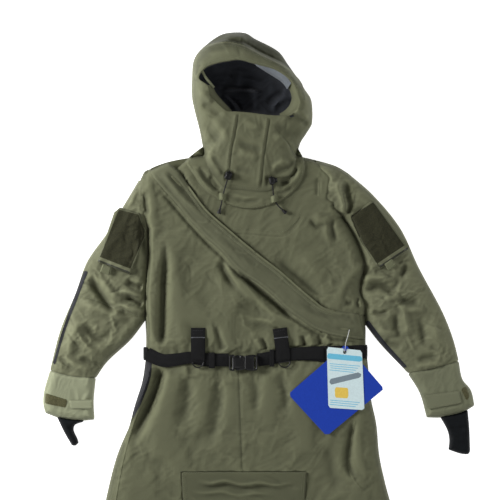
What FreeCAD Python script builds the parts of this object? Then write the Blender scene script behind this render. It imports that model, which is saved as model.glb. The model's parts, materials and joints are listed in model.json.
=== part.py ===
"""Chemical protective suit: a hooded one-piece laminate suit that lies flat on its back.

+X points to the wearer's left, +Y to the hood and +Z out of the front of the suit.
The origin is on the resting plane, on the midline under the waist belt.
Every fabric panel is a plain closed block of the room that the soft piece takes up.
"""
import FreeCAD, Part
import math
import os

Vec = FreeCAD.Vector
UP = Vec(0, 0, 1)

os.makedirs("parts", exist_ok=True)
doc = FreeCAD.newDocument("protective_suit")

# ---------------------------------------------------------------- driving sizes
SIZES = {
    "BackThick": 5,          # back of the suit, two plies and the air between them
    "FrontTop": 34,          # top face of the front panels
    "SleeveTop": 28,
    "CuffTop": 24,
    "SealBase": 4,
    "SealTop": 16,
    "LegTop": 32,
    "SockTop": 30,
    "LoopThick": 1.5,        # hook-and-loop patches
    "TabThick": 2,
    "PocketThick": 9,
    "ZipTape": 2.5,
    "PlacketTop": 22,
    "SliderTall": 6.5,
    "FlapGap": 0.4,
    "FlapThick": 3.6,
    "CollarThick": 6,
    "KeeperTall": 8,
    "WebWide": 30,           # belt webbing
    "WebThick": 2.5,
    "LoopWide": 35,          # belt loops
    "RingWire": 3,
    "ReliefFloor": 25,
    "HoodRimSlope": 0.31,    # rise of the hood rim per millimetre towards the crown
    "HoodRimLow": 56,
    "HoodRimAt": 548,
    "BrimThick": 6,
    "LiningThick": 3,
    "CordDia": 3,
    "StringDia": 1.6,
    "CardThick": 0.8,
    "LockWide": 17,
    "LockLong": 20,
    "LockTall": 14,
    "ButtonDia": 12,
    "LockRound": 3,
    "ButtonOut": 6,          # how far the button stands out of its lock
    "SpringRadius": 4.6,
    "SpringTall": 1.4,
    "TunnelRadius": 4.2,     # fabric channel round the drawcord
    "BellLong": 14,
    "BellRadius": 4.6,
    "RingReach": 13.5,       # D-ring, from its bar's middle to the middle of its bow
    "BuckleTall": 11,
    "BuckleWall": 2.5,
    "CardLift": 4,           # blue card, above the belt
    "CardGap": 1.2,          # from the blue card's underside to the pale card's
    "Slack": 0.3,            # gap between pieces that move past each other
}

sheet = doc.addObject("Spreadsheet::Sheet", "Sizes")
for row, (word, number) in enumerate(SIZES.items(), start=1):
    sheet.set("A%d" % row, word)
    sheet.set("B%d" % row, str(number))
    sheet.setAlias("B%d" % row, word)
doc.recompute()

parts = {}


def size(word):
    return float(sheet.get(word))


def keep(label, thing):
    """Gives a finished sub-part its label, which names its file."""
    thing.Label = label
    parts[label] = thing
    return thing


# ---------------------------------------------------------------- drawing helpers
def add_outline(sketch, runs):
    """A closed outline: a run of two points is a line, a longer run a smooth curve."""
    previous = first = None
    for run in runs:
        points = [Vec(x, y, 0) for x, y in run]
        if len(points) == 2:
            edge = sketch.addGeometry(Part.LineSegment(points[0], points[1]), False)
        else:
            curve = Part.BSplineCurve()
            curve.interpolate(points)
            edge = sketch.addGeometry(curve, False)
        first = edge if first is None else first
        previous = edge
    return first, previous


def lines(*points):
    """Runs that join the points with straight lines."""
    return [[a, b] for a, b in zip(points, points[1:])]


def closed(*points):
    return lines(*points, points[0])


def origin_plane(body, role):
    return [f for f in body.Origin.OriginFeatures if f.Role == role][0]


def panel(label, runs, base, height, name_it=True):
    """A block: the outline on the horizontal plane, from base up through height.

    base and height are expressions in the sizes, such as "Sizes.FrontTop".
    """
    body = doc.addObject("PartDesign::Body", label + "_body")
    sketch = body.newObject("Sketcher::SketchObject", label + "_outline")
    sketch.AttachmentSupport = [(origin_plane(body, "XY_Plane"), "")]
    sketch.MapMode = "FlatFace"
    sketch.setExpression("AttachmentOffset.Base.z", base)
    add_outline(sketch, runs)
    pad = body.newObject("PartDesign::Pad", label + "_pad")
    pad.Profile = sketch
    pad.setExpression("Length", height)
    body.Tip = pad
    return keep(label, body) if name_it else body


def pocket(body, runs, base, height):
    """Cuts the outline out of a body, from base up through height."""
    sketch = body.newObject("Sketcher::SketchObject", body.Name + "_cut")
    sketch.AttachmentSupport = [(origin_plane(body, "XY_Plane"), "")]
    sketch.MapMode = "FlatFace"
    sketch.setExpression("AttachmentOffset.Base.z", base)
    add_outline(sketch, runs)
    cut = body.newObject("PartDesign::Pocket", body.Name + "_pocket")
    cut.Profile = sketch
    cut.Reversed = True
    cut.setExpression("Length", height)
    body.Tip = cut
    return body


def block(low, high):
    """A Part::Box between two corners."""
    box = doc.addObject("Part::Box", "block")
    box.Length = high[0] - low[0]
    box.Width = high[1] - low[1]
    box.Height = high[2] - low[2]
    box.Placement.Base = Vec(*low)
    return box


def rod(start, end, radius):
    """A Part::Cylinder between two points."""
    a, b = Vec(*start), Vec(*end)
    cylinder = doc.addObject("Part::Cylinder", "rod")
    cylinder.Radius = radius
    cylinder.Height = (b - a).Length
    cylinder.Placement = FreeCAD.Placement(a, FreeCAD.Rotation(UP, b - a))
    return cylinder


def fuse(*things):
    joined = doc.addObject("Part::MultiFuse", "fuse")
    joined.Shapes = list(things)
    return joined


def cut(thing, tool):
    result = doc.addObject("Part::Cut", "cut")
    result.Base = thing
    result.Tool = tool
    return result


def common(thing, tool):
    result = doc.addObject("Part::Common", "common")
    result.Base = thing
    result.Tool = tool
    return result


def group(*things):
    """Separate solids in one node."""
    compound = doc.addObject("Part::Compound", "group")
    compound.Links = list(things)
    return compound


def wire(points):
    """A closed polygon in space, as a document object."""
    polygon = doc.addObject("Part::Polygon", "polygon")
    polygon.Nodes = [Vec(*p) for p in points]
    polygon.Close = True
    return polygon


def prism(points, z_low, z_high):
    """A vertical prism over a polygon."""
    extrusion = doc.addObject("Part::Extrusion", "prism")
    extrusion.Base = wire([(x, y, z_low) for x, y in points])
    extrusion.Dir = UP
    extrusion.LengthFwd = z_high - z_low
    extrusion.Solid = True
    return extrusion


# ---------------------------------------------------------------- torso outlines
SHOULDER_RIGHT = [(-262, 428), (-240, 446), (-197, 463), (-146, 473), (-112, 478)]
NECK = lines((-112, 478), (0, 470), (112, 478))
SHOULDER_LEFT = [(112, 478), (151, 469), (206, 453), (238, 434)]
ARMHOLE_LEFT = [(238, 434), (216, 403), (226, 365), (223, 333)]
SIDE_LEFT = [(223, 333), (258, 276), (275, 226), (266, 156), (279, 110), (277, 62)]
WAIST_LEFT = [(277, 62), (277, -8)]
SIDE_RIGHT = [(-251, -8), (-250, 62), (-254, 144), (-246, 230), (-247, 301), (-262, 379), (-262, 428)]
HIP_LEFT = [(277, -8), (290, -103), (310, -240), (345, -385)]
HIP_RIGHT = [(-354, -385), (-319, -245), (-290, -166), (-262, -70), (-251, -8)]
CROTCH = (-4, -420)
REAR_LOW, REAR_HIGH = -23, 7      # belt behind the back
SUIT_REACH = 300                  # farther out than the torso at the waist

# The zipper crosses the chest: ALONG runs down it, ACROSS points up to the neck.
HINGE_AT = (-110, 355)
ALONG = (0.756, -0.654)
ACROSS = (0.654, 0.756)


def chest(across, along):
    """A point of the chest: millimetres from the flap's hinge line, and along it."""
    return (HINGE_AT[0] + across * ACROSS[0] + along * ALONG[0],
            HINGE_AT[1] + across * ACROSS[1] + along * ALONG[1])


TRENCH_HIGH = -4.4       # edges of the trench that holds the zipper, from the hinge line
TRENCH_LOW = -44.4
TRENCH_END = 410
ZIP_MIDDLE = -26.4
ZIP_HALF = 16            # half the width of the zipper's tape
ZIP_FROM, ZIP_TO = -90, 405
PLACKET_FROM = -112
SLIDER_AT = 350

# ---------------------------------------------------------------- torso panels
back = panel("back_panel",
             [SHOULDER_RIGHT] + NECK + [SHOULDER_LEFT, [(238, 434), (223, 333)], SIDE_LEFT, WAIST_LEFT,
              HIP_LEFT] + lines((345, -385), CROTCH, (-354, -385)) + [HIP_RIGHT, SIDE_RIGHT],
             "0", "Sizes.BackThick")
pocket(back, closed((-SUIT_REACH, REAR_LOW - 1), (SUIT_REACH, REAR_LOW - 1),
                    (SUIT_REACH, REAR_HIGH + 1), (-SUIT_REACH, REAR_HIGH + 1)),
       "0", "Sizes.WebThick + Sizes.Slack")

low_start = (-262, 422)
panel("front_panel_right",
      [[low_start, chest(TRENCH_LOW, TRENCH_END)],
       [chest(TRENCH_LOW, TRENCH_END), chest(TRENCH_HIGH, TRENCH_END)],
       [chest(TRENCH_HIGH, TRENCH_END), (277, 62)],
       WAIST_LEFT,
       [(277, -8), (-251, -8)],
       [(-251, -8), (-250, 62), (-254, 144), (-246, 230), (-247, 301), (-262, 379), low_start]],
      "Sizes.BackThick", "Sizes.FrontTop - Sizes.BackThick")

high_start = chest(TRENCH_HIGH, -110)
panel("chest_panel_left",
      [[high_start, (-146, 473)],
       [(-146, 473), (-112, 478)]] + NECK +
      [SHOULDER_LEFT, ARMHOLE_LEFT, SIDE_LEFT, [(277, 62), chest(TRENCH_HIGH, TRENCH_END)],
       [chest(TRENCH_HIGH, TRENCH_END), high_start]],
      "Sizes.BackThick", "Sizes.FrontTop - Sizes.BackThick")

panel("zipper_placket",
      closed(chest(TRENCH_LOW, PLACKET_FROM), chest(TRENCH_LOW, TRENCH_END),
             chest(TRENCH_HIGH, TRENCH_END), chest(TRENCH_HIGH, PLACKET_FROM)),
      "Sizes.BackThick", "Sizes.PlacketTop - Sizes.BackThick")
panel("main_zipper",
      closed(chest(ZIP_MIDDLE - ZIP_HALF, ZIP_FROM), chest(ZIP_MIDDLE - ZIP_HALF, ZIP_TO),
             chest(ZIP_MIDDLE + ZIP_HALF, ZIP_TO), chest(ZIP_MIDDLE + ZIP_HALF, ZIP_FROM)),
      "Sizes.PlacketTop", "Sizes.ZipTape")
panel("main_zipper_slider",
      [[chest(ZIP_MIDDLE - 8, SLIDER_AT), chest(ZIP_MIDDLE - 6, SLIDER_AT + 26),
        chest(ZIP_MIDDLE, SLIDER_AT + 36), chest(ZIP_MIDDLE + 6, SLIDER_AT + 26),
        chest(ZIP_MIDDLE + 8, SLIDER_AT)],
       [chest(ZIP_MIDDLE + 8, SLIDER_AT), chest(ZIP_MIDDLE - 8, SLIDER_AT)]],
      "Sizes.PlacketTop + Sizes.ZipTape + Sizes.Slack", "Sizes.SliderTall")

# The flap hinges on its sewn edge between two ends that are sewn down.
FLAP_FROM, FLAP_TO = -18, 346
HINGE_ACROSS = -0.4
flap_edge = [chest(-50, FLAP_FROM), chest(-54, 62), chest(-60, 166), chest(-54, 223), chest(-56, 307),
             chest(-54, FLAP_TO)]
panel("storm_flap",
      [[chest(HINGE_ACROSS, FLAP_FROM), flap_edge[0]], flap_edge,
       [flap_edge[-1], chest(HINGE_ACROSS, FLAP_TO)],
       [chest(HINGE_ACROSS, FLAP_TO), chest(HINGE_ACROSS, FLAP_FROM)]],
      "Sizes.FrontTop + Sizes.FlapGap", "Sizes.FlapThick")
flap_top_end = panel(
    "flap_top_end",
    [[chest(HINGE_ACROSS, FLAP_FROM - 1), (-170, 436), (-200, 458)],
     [(-200, 458), (-240, 440)],
     [(-240, 440), (-190, 378), chest(-50, FLAP_FROM - 1)],
     [chest(-50, FLAP_FROM - 1), chest(HINGE_ACROSS, FLAP_FROM - 1)]],
    "Sizes.FrontTop", "Sizes.FlapThick + Sizes.FlapGap", False)
flap_low_end = panel(
    "flap_low_end",
    [[chest(HINGE_ACROSS, FLAP_TO + 1), (182, 112), (262, 98)],
     [(262, 98), (272, 44)],
     [(272, 44), (190, 50), chest(-54, FLAP_TO + 1)],
     [chest(-54, FLAP_TO + 1), chest(HINGE_ACROSS, FLAP_TO + 1)]],
    "Sizes.FrontTop", "Sizes.FlapThick + Sizes.FlapGap", False)
keep("storm_flap_ends", group(flap_top_end, flap_low_end))

# ---------------------------------------------------------------- below the belt
SEAM_TOP, SEAM_LOW = (-28, -8), (-18, -274)
RELIEF_LEFT, RELIEF_RIGHT, RELIEF_TOP, RELIEF_LOW = 137, -166, -276, -398
RELIEF = closed((RELIEF_RIGHT, RELIEF_TOP), (RELIEF_LEFT, RELIEF_TOP),
                (RELIEF_LEFT - 8, RELIEF_LOW), (RELIEF_RIGHT + 8, RELIEF_LOW))
GUSSET_INNER = [(-232, -8), (-236, -50), (-258, -110), (-289, -163)]
lower_right = panel(
    "lower_front_right",
    [GUSSET_INNER, [(-289, -163), (-319, -245), (-354, -385)]] +
    lines((-354, -385), CROTCH, SEAM_LOW, SEAM_TOP, (-232, -8)),
    "Sizes.BackThick", "Sizes.FrontTop - Sizes.BackThick")
pocket(lower_right, RELIEF, "Sizes.ReliefFloor", "Sizes.FrontTop - Sizes.ReliefFloor + 1")
lower_left = panel(
    "lower_front_left",
    [[SEAM_TOP, (277, -8)], HIP_LEFT] + lines((345, -385), CROTCH, SEAM_LOW, SEAM_TOP),
    "Sizes.BackThick", "Sizes.FrontTop - Sizes.BackThick")
pocket(lower_left, RELIEF, "Sizes.ReliefFloor", "Sizes.FrontTop - Sizes.ReliefFloor + 1")
panel("side_gusset_right",
      [GUSSET_INNER, [(-289, -163), (-262, -70), (-251, -8)], [(-251, -8), (-232, -8)]],
      "Sizes.BackThick", "Sizes.FrontTop - Sizes.BackThick - 4")
RELIEF_ZIP_Y, RELIEF_ZIP_HALF = -336, 14
RELIEF_ZIP_FROM, RELIEF_ZIP_TO = -130, 100
panel("relief_zipper",
      closed((RELIEF_ZIP_FROM, RELIEF_ZIP_Y - RELIEF_ZIP_HALF),
             (RELIEF_ZIP_TO, RELIEF_ZIP_Y - RELIEF_ZIP_HALF),
             (RELIEF_ZIP_TO, RELIEF_ZIP_Y + RELIEF_ZIP_HALF),
             (RELIEF_ZIP_FROM, RELIEF_ZIP_Y + RELIEF_ZIP_HALF)),
      "Sizes.ReliefFloor", "Sizes.ZipTape")
panel("relief_slider",
      [[(82, RELIEF_ZIP_Y - 6), (66, RELIEF_ZIP_Y - 5), (58, RELIEF_ZIP_Y), (66, RELIEF_ZIP_Y + 5),
        (82, RELIEF_ZIP_Y + 6)], [(82, RELIEF_ZIP_Y + 6), (82, RELIEF_ZIP_Y - 6)]],
      "Sizes.ReliefFloor + Sizes.ZipTape + Sizes.Slack", "Sizes.SliderTall - 1.2")
panel("relief_flap",
      closed((RELIEF_RIGHT + 2, RELIEF_TOP - 2.5), (RELIEF_LEFT - 2, RELIEF_TOP - 2.5),
             (RELIEF_LEFT - 9, RELIEF_LOW + 6), (RELIEF_RIGHT + 9, RELIEF_LOW + 6)),
      "Sizes.FrontTop + Sizes.FlapGap", "Sizes.FlapThick")

# ---------------------------------------------------------------- legs
LEG_MIDDLE = -4


def leg(side, label):
    """side is -1 for the wearer's right leg and 1 for the left."""
    def at(reach, y):
        return (LEG_MIDDLE + side * reach, y)
    hip = (-354, -385) if side < 0 else (345, -385)
    outer = [hip, at(374, -500), at(386, -650), at(378, -820), at(358, -1000), at(346, -1110)]
    inner = [at(212, -1118), at(200, -1000), at(166, -800), at(108, -620), at(44, -480), CROTCH]
    return panel(label, [outer, [outer[-1], inner[0]], inner, [CROTCH, hip]], "0", "Sizes.LegTop")


def sock(side, name):
    def at(reach, y):
        return (LEG_MIDDLE + side * reach, y)
    foot = [at(342, -1110.6), at(376, -1142), at(438, -1168), at(456, -1194), at(430, -1219),
            at(340, -1227), at(262, -1222), at(214, -1202), at(202, -1160), at(214, -1118.6)]
    return panel(name, [foot, [foot[-1], foot[0]]], "0", "Sizes.SockTop", False)


def knee(side, name):
    def at(reach, y):
        return (LEG_MIDDLE + side * reach, y)
    return panel(name, [[at(352, -640), at(360, -760), at(346, -890)], [at(346, -890), at(212, -890)],
                        [at(212, -890), at(190, -760), at(152, -640)], [at(152, -640), at(352, -640)]],
                 "Sizes.LegTop", "Sizes.TabThick", False)


leg(-1, "leg_right")
leg(1, "leg_left")
keep("knee_patches", group(knee(-1, "knee_patch_right"), knee(1, "knee_patch_left")))
keep("socks", group(sock(-1, "sock_right"), sock(1, "sock_left")))

# ---------------------------------------------------------------- sleeves
panel("sleeve_right",
      [[(-264.5, 426), (-303, 359), (-345, 290), (-391, 224), (-418, 150), (-455, 60), (-480, -36)],
       [(-480, -36), (-440, -47), (-370, -55)],
       [(-370, -55), (-344, -18), (-286, 37), (-257, 78)],
       [(-257, 78), (-257.5, 144), (-249.5, 230), (-250.5, 301), (-264.5, 379), (-264.5, 426)]],
      "0", "Sizes.SleeveTop")
panel("sleeve_left",
      [[(243, 432), (293, 386), (360, 305), (406, 208), (463, 101), (488, 37), (501, -14)],
       [(501, -14), (446, -29), (378, -43)],
       [(378, -43), (369, -33), (313, 26), (282, 71)],
       [(282, 71), (282.5, 110), (270.5, 156), (279.5, 226), (262.5, 279), (227, 336)],
       [(227, 336), (243, 432)]],
      "0", "Sizes.SleeveTop")
panel("cuff_right",
      [[(-480, -36.5), (-495, -91), (-496, -120), (-491, -139)],
       [(-491, -139), (-462, -150), (-418, -158), (-373, -155)],
       [(-373, -155), (-375, -110), (-370, -55.5)],
       [(-370, -55.5), (-440, -47.5), (-480, -36.5)]],
      "0", "Sizes.CuffTop")
panel("cuff_left",
      [[(501, -14.5), (510, -58), (530, -84), (539, -121)],
       [(539, -121), (508, -139), (460, -150), (424, -150)],
       [(424, -150), (407, -91), (378, -43.5)],
       [(378, -43.5), (446, -29.5), (501, -14.5)]],
      "0", "Sizes.CuffTop")
seal_right = panel(
    "wrist_seal_right",
    [[(-464, -150.2), (-418, -158.4), (-398, -158.4)],
     [(-398, -158.4), (-420, -172), (-409, -200), (-408, -212)],
     [(-408, -212), (-415, -218), (-429, -216)],
     [(-429, -216), (-464, -150.2)]],
    "Sizes.SealBase", "Sizes.SealTop - Sizes.SealBase", False)
seal_left = panel(
    "wrist_seal_left",
    [[(450, -151.4), (508, -140.6), (521, -133.6)],
     [(521, -133.6), (523, -176), (528, -236)],
     [(528, -236), (508, -236), (474, -226)],
     [(474, -226), (468, -190), (450, -151.4)]],
    "Sizes.SealBase", "Sizes.SealTop - Sizes.SealBase", False)
keep("wrist_seals", group(seal_right, seal_left))
panel("sleeve_stripe_right",
      [[(-397, 204), (-424, 133), (-448, 63), (-474, -24)],
       [(-474, -24), (-466, -20)],
       [(-466, -20), (-440, 66), (-413, 136), (-388, 200)],
       [(-388, 200), (-397, 204)]],
      "Sizes.SleeveTop", "Sizes.LoopThick")

# ---------------------------------------------------------------- cuff tabs and patches
patch_right = panel("cuff_patch_right",
                    closed((-490, -90), (-437, -106), (-441, -125), (-491, -115)),
                    "Sizes.CuffTop", "Sizes.LoopThick", False)
patch_left = panel("cuff_patch_left",
                   closed((505, -82), (516, -72), (526, -98), (518, -109)),
                   "Sizes.CuffTop", "Sizes.LoopThick", False)
panel("cuff_tab_right",
      closed((-378, -106), (-378, -128), (-430, -128), (-434, -106)),
      "Sizes.CuffTop + 0.4", "Sizes.TabThick")
panel("cuff_tab_left",
      closed((414, -93), (426, -130), (508, -114), (500, -83)),
      "Sizes.CuffTop + 0.4", "Sizes.TabThick")

# ---------------------------------------------------------------- arm pockets
bag_right = panel("arm_pocket_right",
                  closed((-325, 342), (-311, 353), (-262, 338), (-249, 287), (-284, 192), (-366, 222)),
                  "Sizes.SleeveTop", "Sizes.PocketThick", False)
bag_left = panel("arm_pocket_left",
                 closed((289, 371), (300, 367), (381, 262), (378, 250), (311, 204), (300, 215),
                        (268, 269), (243, 331)),
                 "Sizes.SleeveTop", "Sizes.PocketThick", False)
keep("arm_pockets", group(bag_right, bag_left))
loop_right = panel("arm_loop_right",
                   closed((-311, 351), (-264, 337), (-251, 287), (-288, 209), (-359, 238)),
                   "Sizes.SleeveTop + Sizes.PocketThick", "Sizes.LoopThick", False)
loop_left = panel("arm_loop_left",
                  closed((289, 369), (244, 330), (268, 271), (306, 222), (374, 267)),
                  "Sizes.SleeveTop + Sizes.PocketThick", "Sizes.LoopThick", False)
keep("loop_patches", group(loop_right, loop_left, patch_right, patch_left))
zip_right = panel("pocket_zip_right",
                  closed((-361, 233), (-289, 204), (-285, 194), (-363, 223)),
                  "Sizes.SleeveTop + Sizes.PocketThick", "Sizes.LoopThick", False)
zip_left = panel("pocket_zip_left",
                 closed((308, 219), (375, 262), (379, 253), (312, 207)),
                 "Sizes.SleeveTop + Sizes.PocketThick", "Sizes.LoopThick", False)
keep("pocket_zips", group(zip_right, zip_left))
panel("pocket_slider_right",
      closed((-352, 218), (-328, 209), (-331, 201), (-355, 210)),
      "Sizes.SleeveTop + Sizes.PocketThick + Sizes.LoopThick + Sizes.Slack", "4")
panel("pocket_slider_left",
      closed((322, 216), (340, 227), (344, 221), (326, 210)),
      "Sizes.SleeveTop + Sizes.PocketThick + Sizes.LoopThick + Sizes.Slack", "4")

# ---------------------------------------------------------------- hood
HOOD_FLOOR = [(150, 585), (128, 642), (90, 697), (40, 742), (-15, 770), (-75, 765), (-128, 718),
              (-139, 655), (-132, 590), (-112, 478), (0, 470), (112, 478)]
HOOD_RIM = [(132, 612), (122, 655), (92, 690), (45, 712), (-15, 724), (-82, 718), (-126, 692),
            (-134, 655), (-112, 608), (-70, 556), (0, 548), (88, 556)]
HOOD_MOUTH = [(120, 612), (106, 650), (80, 674), (35, 686), (-15, 700), (-77, 694), (-112, 678),
              (-124, 660), (-88, 612), (-55, 582), (10, 576), (92, 576)]
HOOD_CENTRE = (0, 640)
slope, low, at = size("HoodRimSlope"), size("HoodRimLow"), size("HoodRimAt")
back_top = size("BackThick")


def rim(point, lift=0.0):
    """A point on the tilted plane of the hood's rim."""
    x, y = point
    return (x, y, low + slope * (y - at) + lift)


panel("hood_back", closed(*HOOD_FLOOR), "0", "Sizes.BackThick")
shell = doc.addObject("Part::Loft", "hood_shell")
shell.Sections = [wire([(x, y, back_top) for x, y in HOOD_FLOOR]), wire([rim(p) for p in HOOD_RIM])]
shell.Solid = True
shell.Ruled = True
walls = cut(shell, prism(HOOD_MOUTH, 0, 160))


def sector(first, last):
    """The part of the hood's wall between two stations of its floor outline."""
    count = len(HOOD_FLOOR)
    reach = 1.6
    fan = [HOOD_CENTRE]
    for station in range(first, last + 1):
        x, y = HOOD_FLOOR[station % count]
        fan.append((HOOD_CENTRE[0] + reach * (x - HOOD_CENTRE[0]),
                    HOOD_CENTRE[1] + reach * (y - HOOD_CENTRE[1])))
    return common(walls, prism(fan, -10, 200))


keep("hood_crown", sector(2, 6))
keep("hood_side_right", sector(6, 9))
keep("hood_side_left", sector(11, 14))

brim_points = [rim(p) for p in HOOD_RIM[1:8]] + [rim(p) for p in reversed(HOOD_MOUTH[1:8])]
brim = doc.addObject("Part::Extrusion", "brim")
brim.Base = wire(brim_points)
brim.Dir = Vec(0, -slope, 1).normalize()
brim.setExpression("LengthFwd", "Sizes.BrimThick")
brim.Solid = True
keep("hood_brim", brim)

BIB_TOP, BIB_SLOPE, BIB_AT = 56, 0.145, 528
bib_outline = [(-110, 474), (-97, 446), (-77, 420), (-60, 400), (25, 393), (53, 399), (63, 420),
               (94, 432), (110, 474), (72, 528), (-72, 528)]


def bib_height(y):
    return BIB_TOP - BIB_SLOPE * (BIB_AT - y)


above = block((-200, 380, 0), (200, 620, 60))
above.Placement = FreeCAD.Placement(
    Vec(0, BIB_AT, BIB_TOP), FreeCAD.Rotation(Vec(1, 0, 0), math.degrees(math.atan(BIB_SLOPE))))
above.Placement = above.Placement.multiply(FreeCAD.Placement(Vec(-200, -180, 0), FreeCAD.Rotation()))
bib = cut(prism(bib_outline, size("FrontTop"), 90), above)


def tunnel(start, end):
    """The fabric channel that lets the drawcord out of the hood."""
    return cut(rod(start, end, size("TunnelRadius")), rod(start, end, size("CordDia") / 2 + 0.4))


CORD_RIGHT = [(-48, 441, 52), (-55, 416, 52), (-60.5, 397, 48), (-65.5, 379, 43),
              (-67.5, 364, 42.4), (-71, 352, 39.5)]
CORD_LEFT = [(50.5, 428, 51.5), (54.5, 400, 51.5), (55.5, 385, 47), (58.5, 370, 42.6),
             (66, 358, 42), (76, 349, 39.5)]
tunnel_right = tunnel((-44, 458, 52), CORD_RIGHT[0])
tunnel_left = tunnel((48, 445, 51.5), CORD_LEFT[0])
keep("chin_panel", fuse(sector(9, 11), bib, tunnel_right, tunnel_left))


def shrunk(points, by):
    """A polygon moved inwards by a distance."""
    shape = Part.Face(Part.makePolygon([Vec(x, y, 0) for x, y in points + points[:1]]))
    inner = shape.makeOffset2D(-by, join=2)
    return [(v.Point.x, v.Point.y) for v in inner.OuterWire.OrderedVertexes]


liner = cut(prism(shrunk(HOOD_MOUTH, 0.3), back_top, 160),
            prism(shrunk(HOOD_MOUTH, 0.3 + size("LiningThick")), back_top + size("LiningThick"), 170))
roof = block((-200, 380, 0), (200, 900, 200))
roof.Placement = FreeCAD.Placement(
    Vec(*rim((0, at))), FreeCAD.Rotation(Vec(1, 0, 0), math.degrees(math.atan(slope))))
roof.Placement = roof.Placement.multiply(FreeCAD.Placement(Vec(-200, -200, -2), FreeCAD.Rotation()))
keep("hood_lining", cut(liner, roof))

# ---------------------------------------------------------------- collar and drawcords
panel("collar",
      [[(-112, 474), (-144, 470)],
       [(-144, 470), (-134, 430), (-97, 385), (-52, 360), (14, 350), (72, 368), (117, 407), (131, 452),
        (128, 468)],
       [(128, 468), (112, 474)],
       [(112, 474), (96, 430), (64, 417)],
       [(64, 417), (55, 397), (25, 391.5)],
       [(25, 391.5), (-61, 398.5)],
       [(-61, 398.5), (-79, 419), (-99, 446), (-112, 474)]],
      "Sizes.FrontTop", "Sizes.CollarThick")


KEEPER_HALF_WIDE, KEEPER_HALF_LONG, KEEPER_WALL = 10, 8, 1.4
KEEPER_HOLE_HALF = 3


def keeper(middle, angle):
    """A webbing keeper over the drawcord: a small block with a tunnel."""
    base = size("FrontTop") + size("CollarThick")
    outer = block((-KEEPER_HALF_WIDE, -KEEPER_HALF_LONG, 0),
                  (KEEPER_HALF_WIDE, KEEPER_HALF_LONG, size("KeeperTall") + KEEPER_WALL))
    hole = block((-KEEPER_HOLE_HALF, -KEEPER_HALF_LONG - 1, -1),
                 (KEEPER_HOLE_HALF, KEEPER_HALF_LONG + 1, size("KeeperTall")))
    loop = cut(outer, hole)
    loop.Placement = FreeCAD.Placement(Vec(middle[0], middle[1], base), FreeCAD.Rotation(UP, angle))
    return loop


keep("collar_keepers", group(keeper((-66, 379), -12), keeper((58, 374), 14)))


def cord(label, route, diameter):
    """A round cord: straight runs joined by tangent arcs that are as large as the runs allow."""
    points = [Vec(*p) for p in route]
    radii = []
    edges = []
    start = points[0]
    for before, corner, after in zip(points, points[1:], points[2:]):
        into = (corner - before).normalize()
        out = (after - corner).normalize()
        turn = into.getAngle(out)
        shorter = min((corner - before).Length, (after - corner).Length)
        back_off = 0.45 * shorter
        radius = back_off / math.tan(turn / 2)
        radii.append(radius)
        arc_start = corner - into * back_off
        arc_end = corner + out * back_off
        bisector = (out - into).normalize()
        centre = corner + bisector * (radius / math.cos(turn / 2))
        arc_middle = centre - bisector * radius
        edges.append(Part.LineSegment(start, arc_start).toShape())
        edges.append(Part.Arc(arc_start, arc_middle, arc_end).toShape())
        start = arc_end
    edges.append(Part.LineSegment(start, points[-1]).toShape())
    path = Part.Wire(edges)
    circle = Part.Circle(points[0], (points[1] - points[0]).normalize(), diameter / 2)
    profile = Part.Wire([circle.toShape()])
    feature = doc.addObject("Part::Feature", label + "_cord")
    feature.Shape = path.makePipeShell([profile], True, False)
    expected = math.pi * diameter ** 2 / 4 * path.Length
    print("%s length %.1f mm, volume ratio %.3f, radii %s" % (
        label, path.Length, feature.Shape.Volume / expected, [round(r) for r in radii]))
    return keep(label, feature)


cord("drawcord_right", CORD_RIGHT, size("CordDia"))
cord("drawcord_left", CORD_LEFT, size("CordDia"))


def bell(route):
    """The end bell: a cone with a round end in line with the cord's last run."""
    end = Vec(*route[-1])
    way = (end - Vec(*route[-2])).normalize()
    way = Vec(way.x, way.y, 0).normalize()
    wide, long_ = size("BellRadius"), size("BellLong")
    cone = doc.addObject("Part::Cone", "bell_cone")
    cone.Radius1 = wide - 2
    cone.Radius2 = wide
    cone.Height = long_ - 3
    cone.Placement = FreeCAD.Placement(end, FreeCAD.Rotation(UP, way))
    tip = rod(end + way * (long_ - 3), end + way * long_, wide)
    return fuse(cone, tip)


keep("cord_bells", group(bell(CORD_RIGHT), bell(CORD_LEFT)))


def cord_lock(label, centre, press, angle):
    """A sprung cord lock: a body with a cord hole across it and a bore for its button.

    press is the direction in which the button sticks out, angle turns the lock in plan.
    """
    wide, long_, tall = size("LockWide"), size("LockLong"), size("LockTall")
    body = block((-wide / 2, -long_ / 2, -tall / 2), (wide / 2, long_ / 2, tall / 2))
    rounded = doc.addObject("Part::Fillet", label + "_round")
    rounded.Base = body
    rounded.Edges = [(edge, size("LockRound"), size("LockRound")) for edge in (1, 3, 5, 7)]
    floor = -tall / 2 + 2
    clear = size("CordDia") / 2 + 0.4
    bore = rod((0, 0, floor), (0, 0, tall / 2 + 1), size("ButtonDia") / 2 + 0.4)
    hole = rod((0, -long_, 0), (0, long_, 0), clear + 0.5)
    shell = cut(cut(rounded, bore), hole)
    fork = block((-clear, -long_, -2), (clear, long_, 4.8))
    button = cut(rod((0, 0, -0.5), (0, 0, tall / 2 + size("ButtonOut")), size("ButtonDia") / 2), fork)
    coil = size("SpringRadius")
    spring_top = floor + size("SpringTall")
    spring = cut(rod((0, 0, floor), (0, 0, spring_top), coil),
                 rod((0, 0, floor - 1), (0, 0, spring_top + 1), coil - 1.2))
    tilt = FreeCAD.Rotation(UP, angle)
    if press[0]:
        tilt = tilt.multiply(FreeCAD.Rotation(Vec(0, 1, 0), 90))
    for thing in (shell, button, spring):
        thing.Placement = FreeCAD.Placement(Vec(*centre), tilt).multiply(thing.Placement)
    keep(label, shell)
    keep(label.replace("cord_lock", "lock_button"), button)
    keep(label.replace("cord_lock", "lock_spring"), spring)


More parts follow.
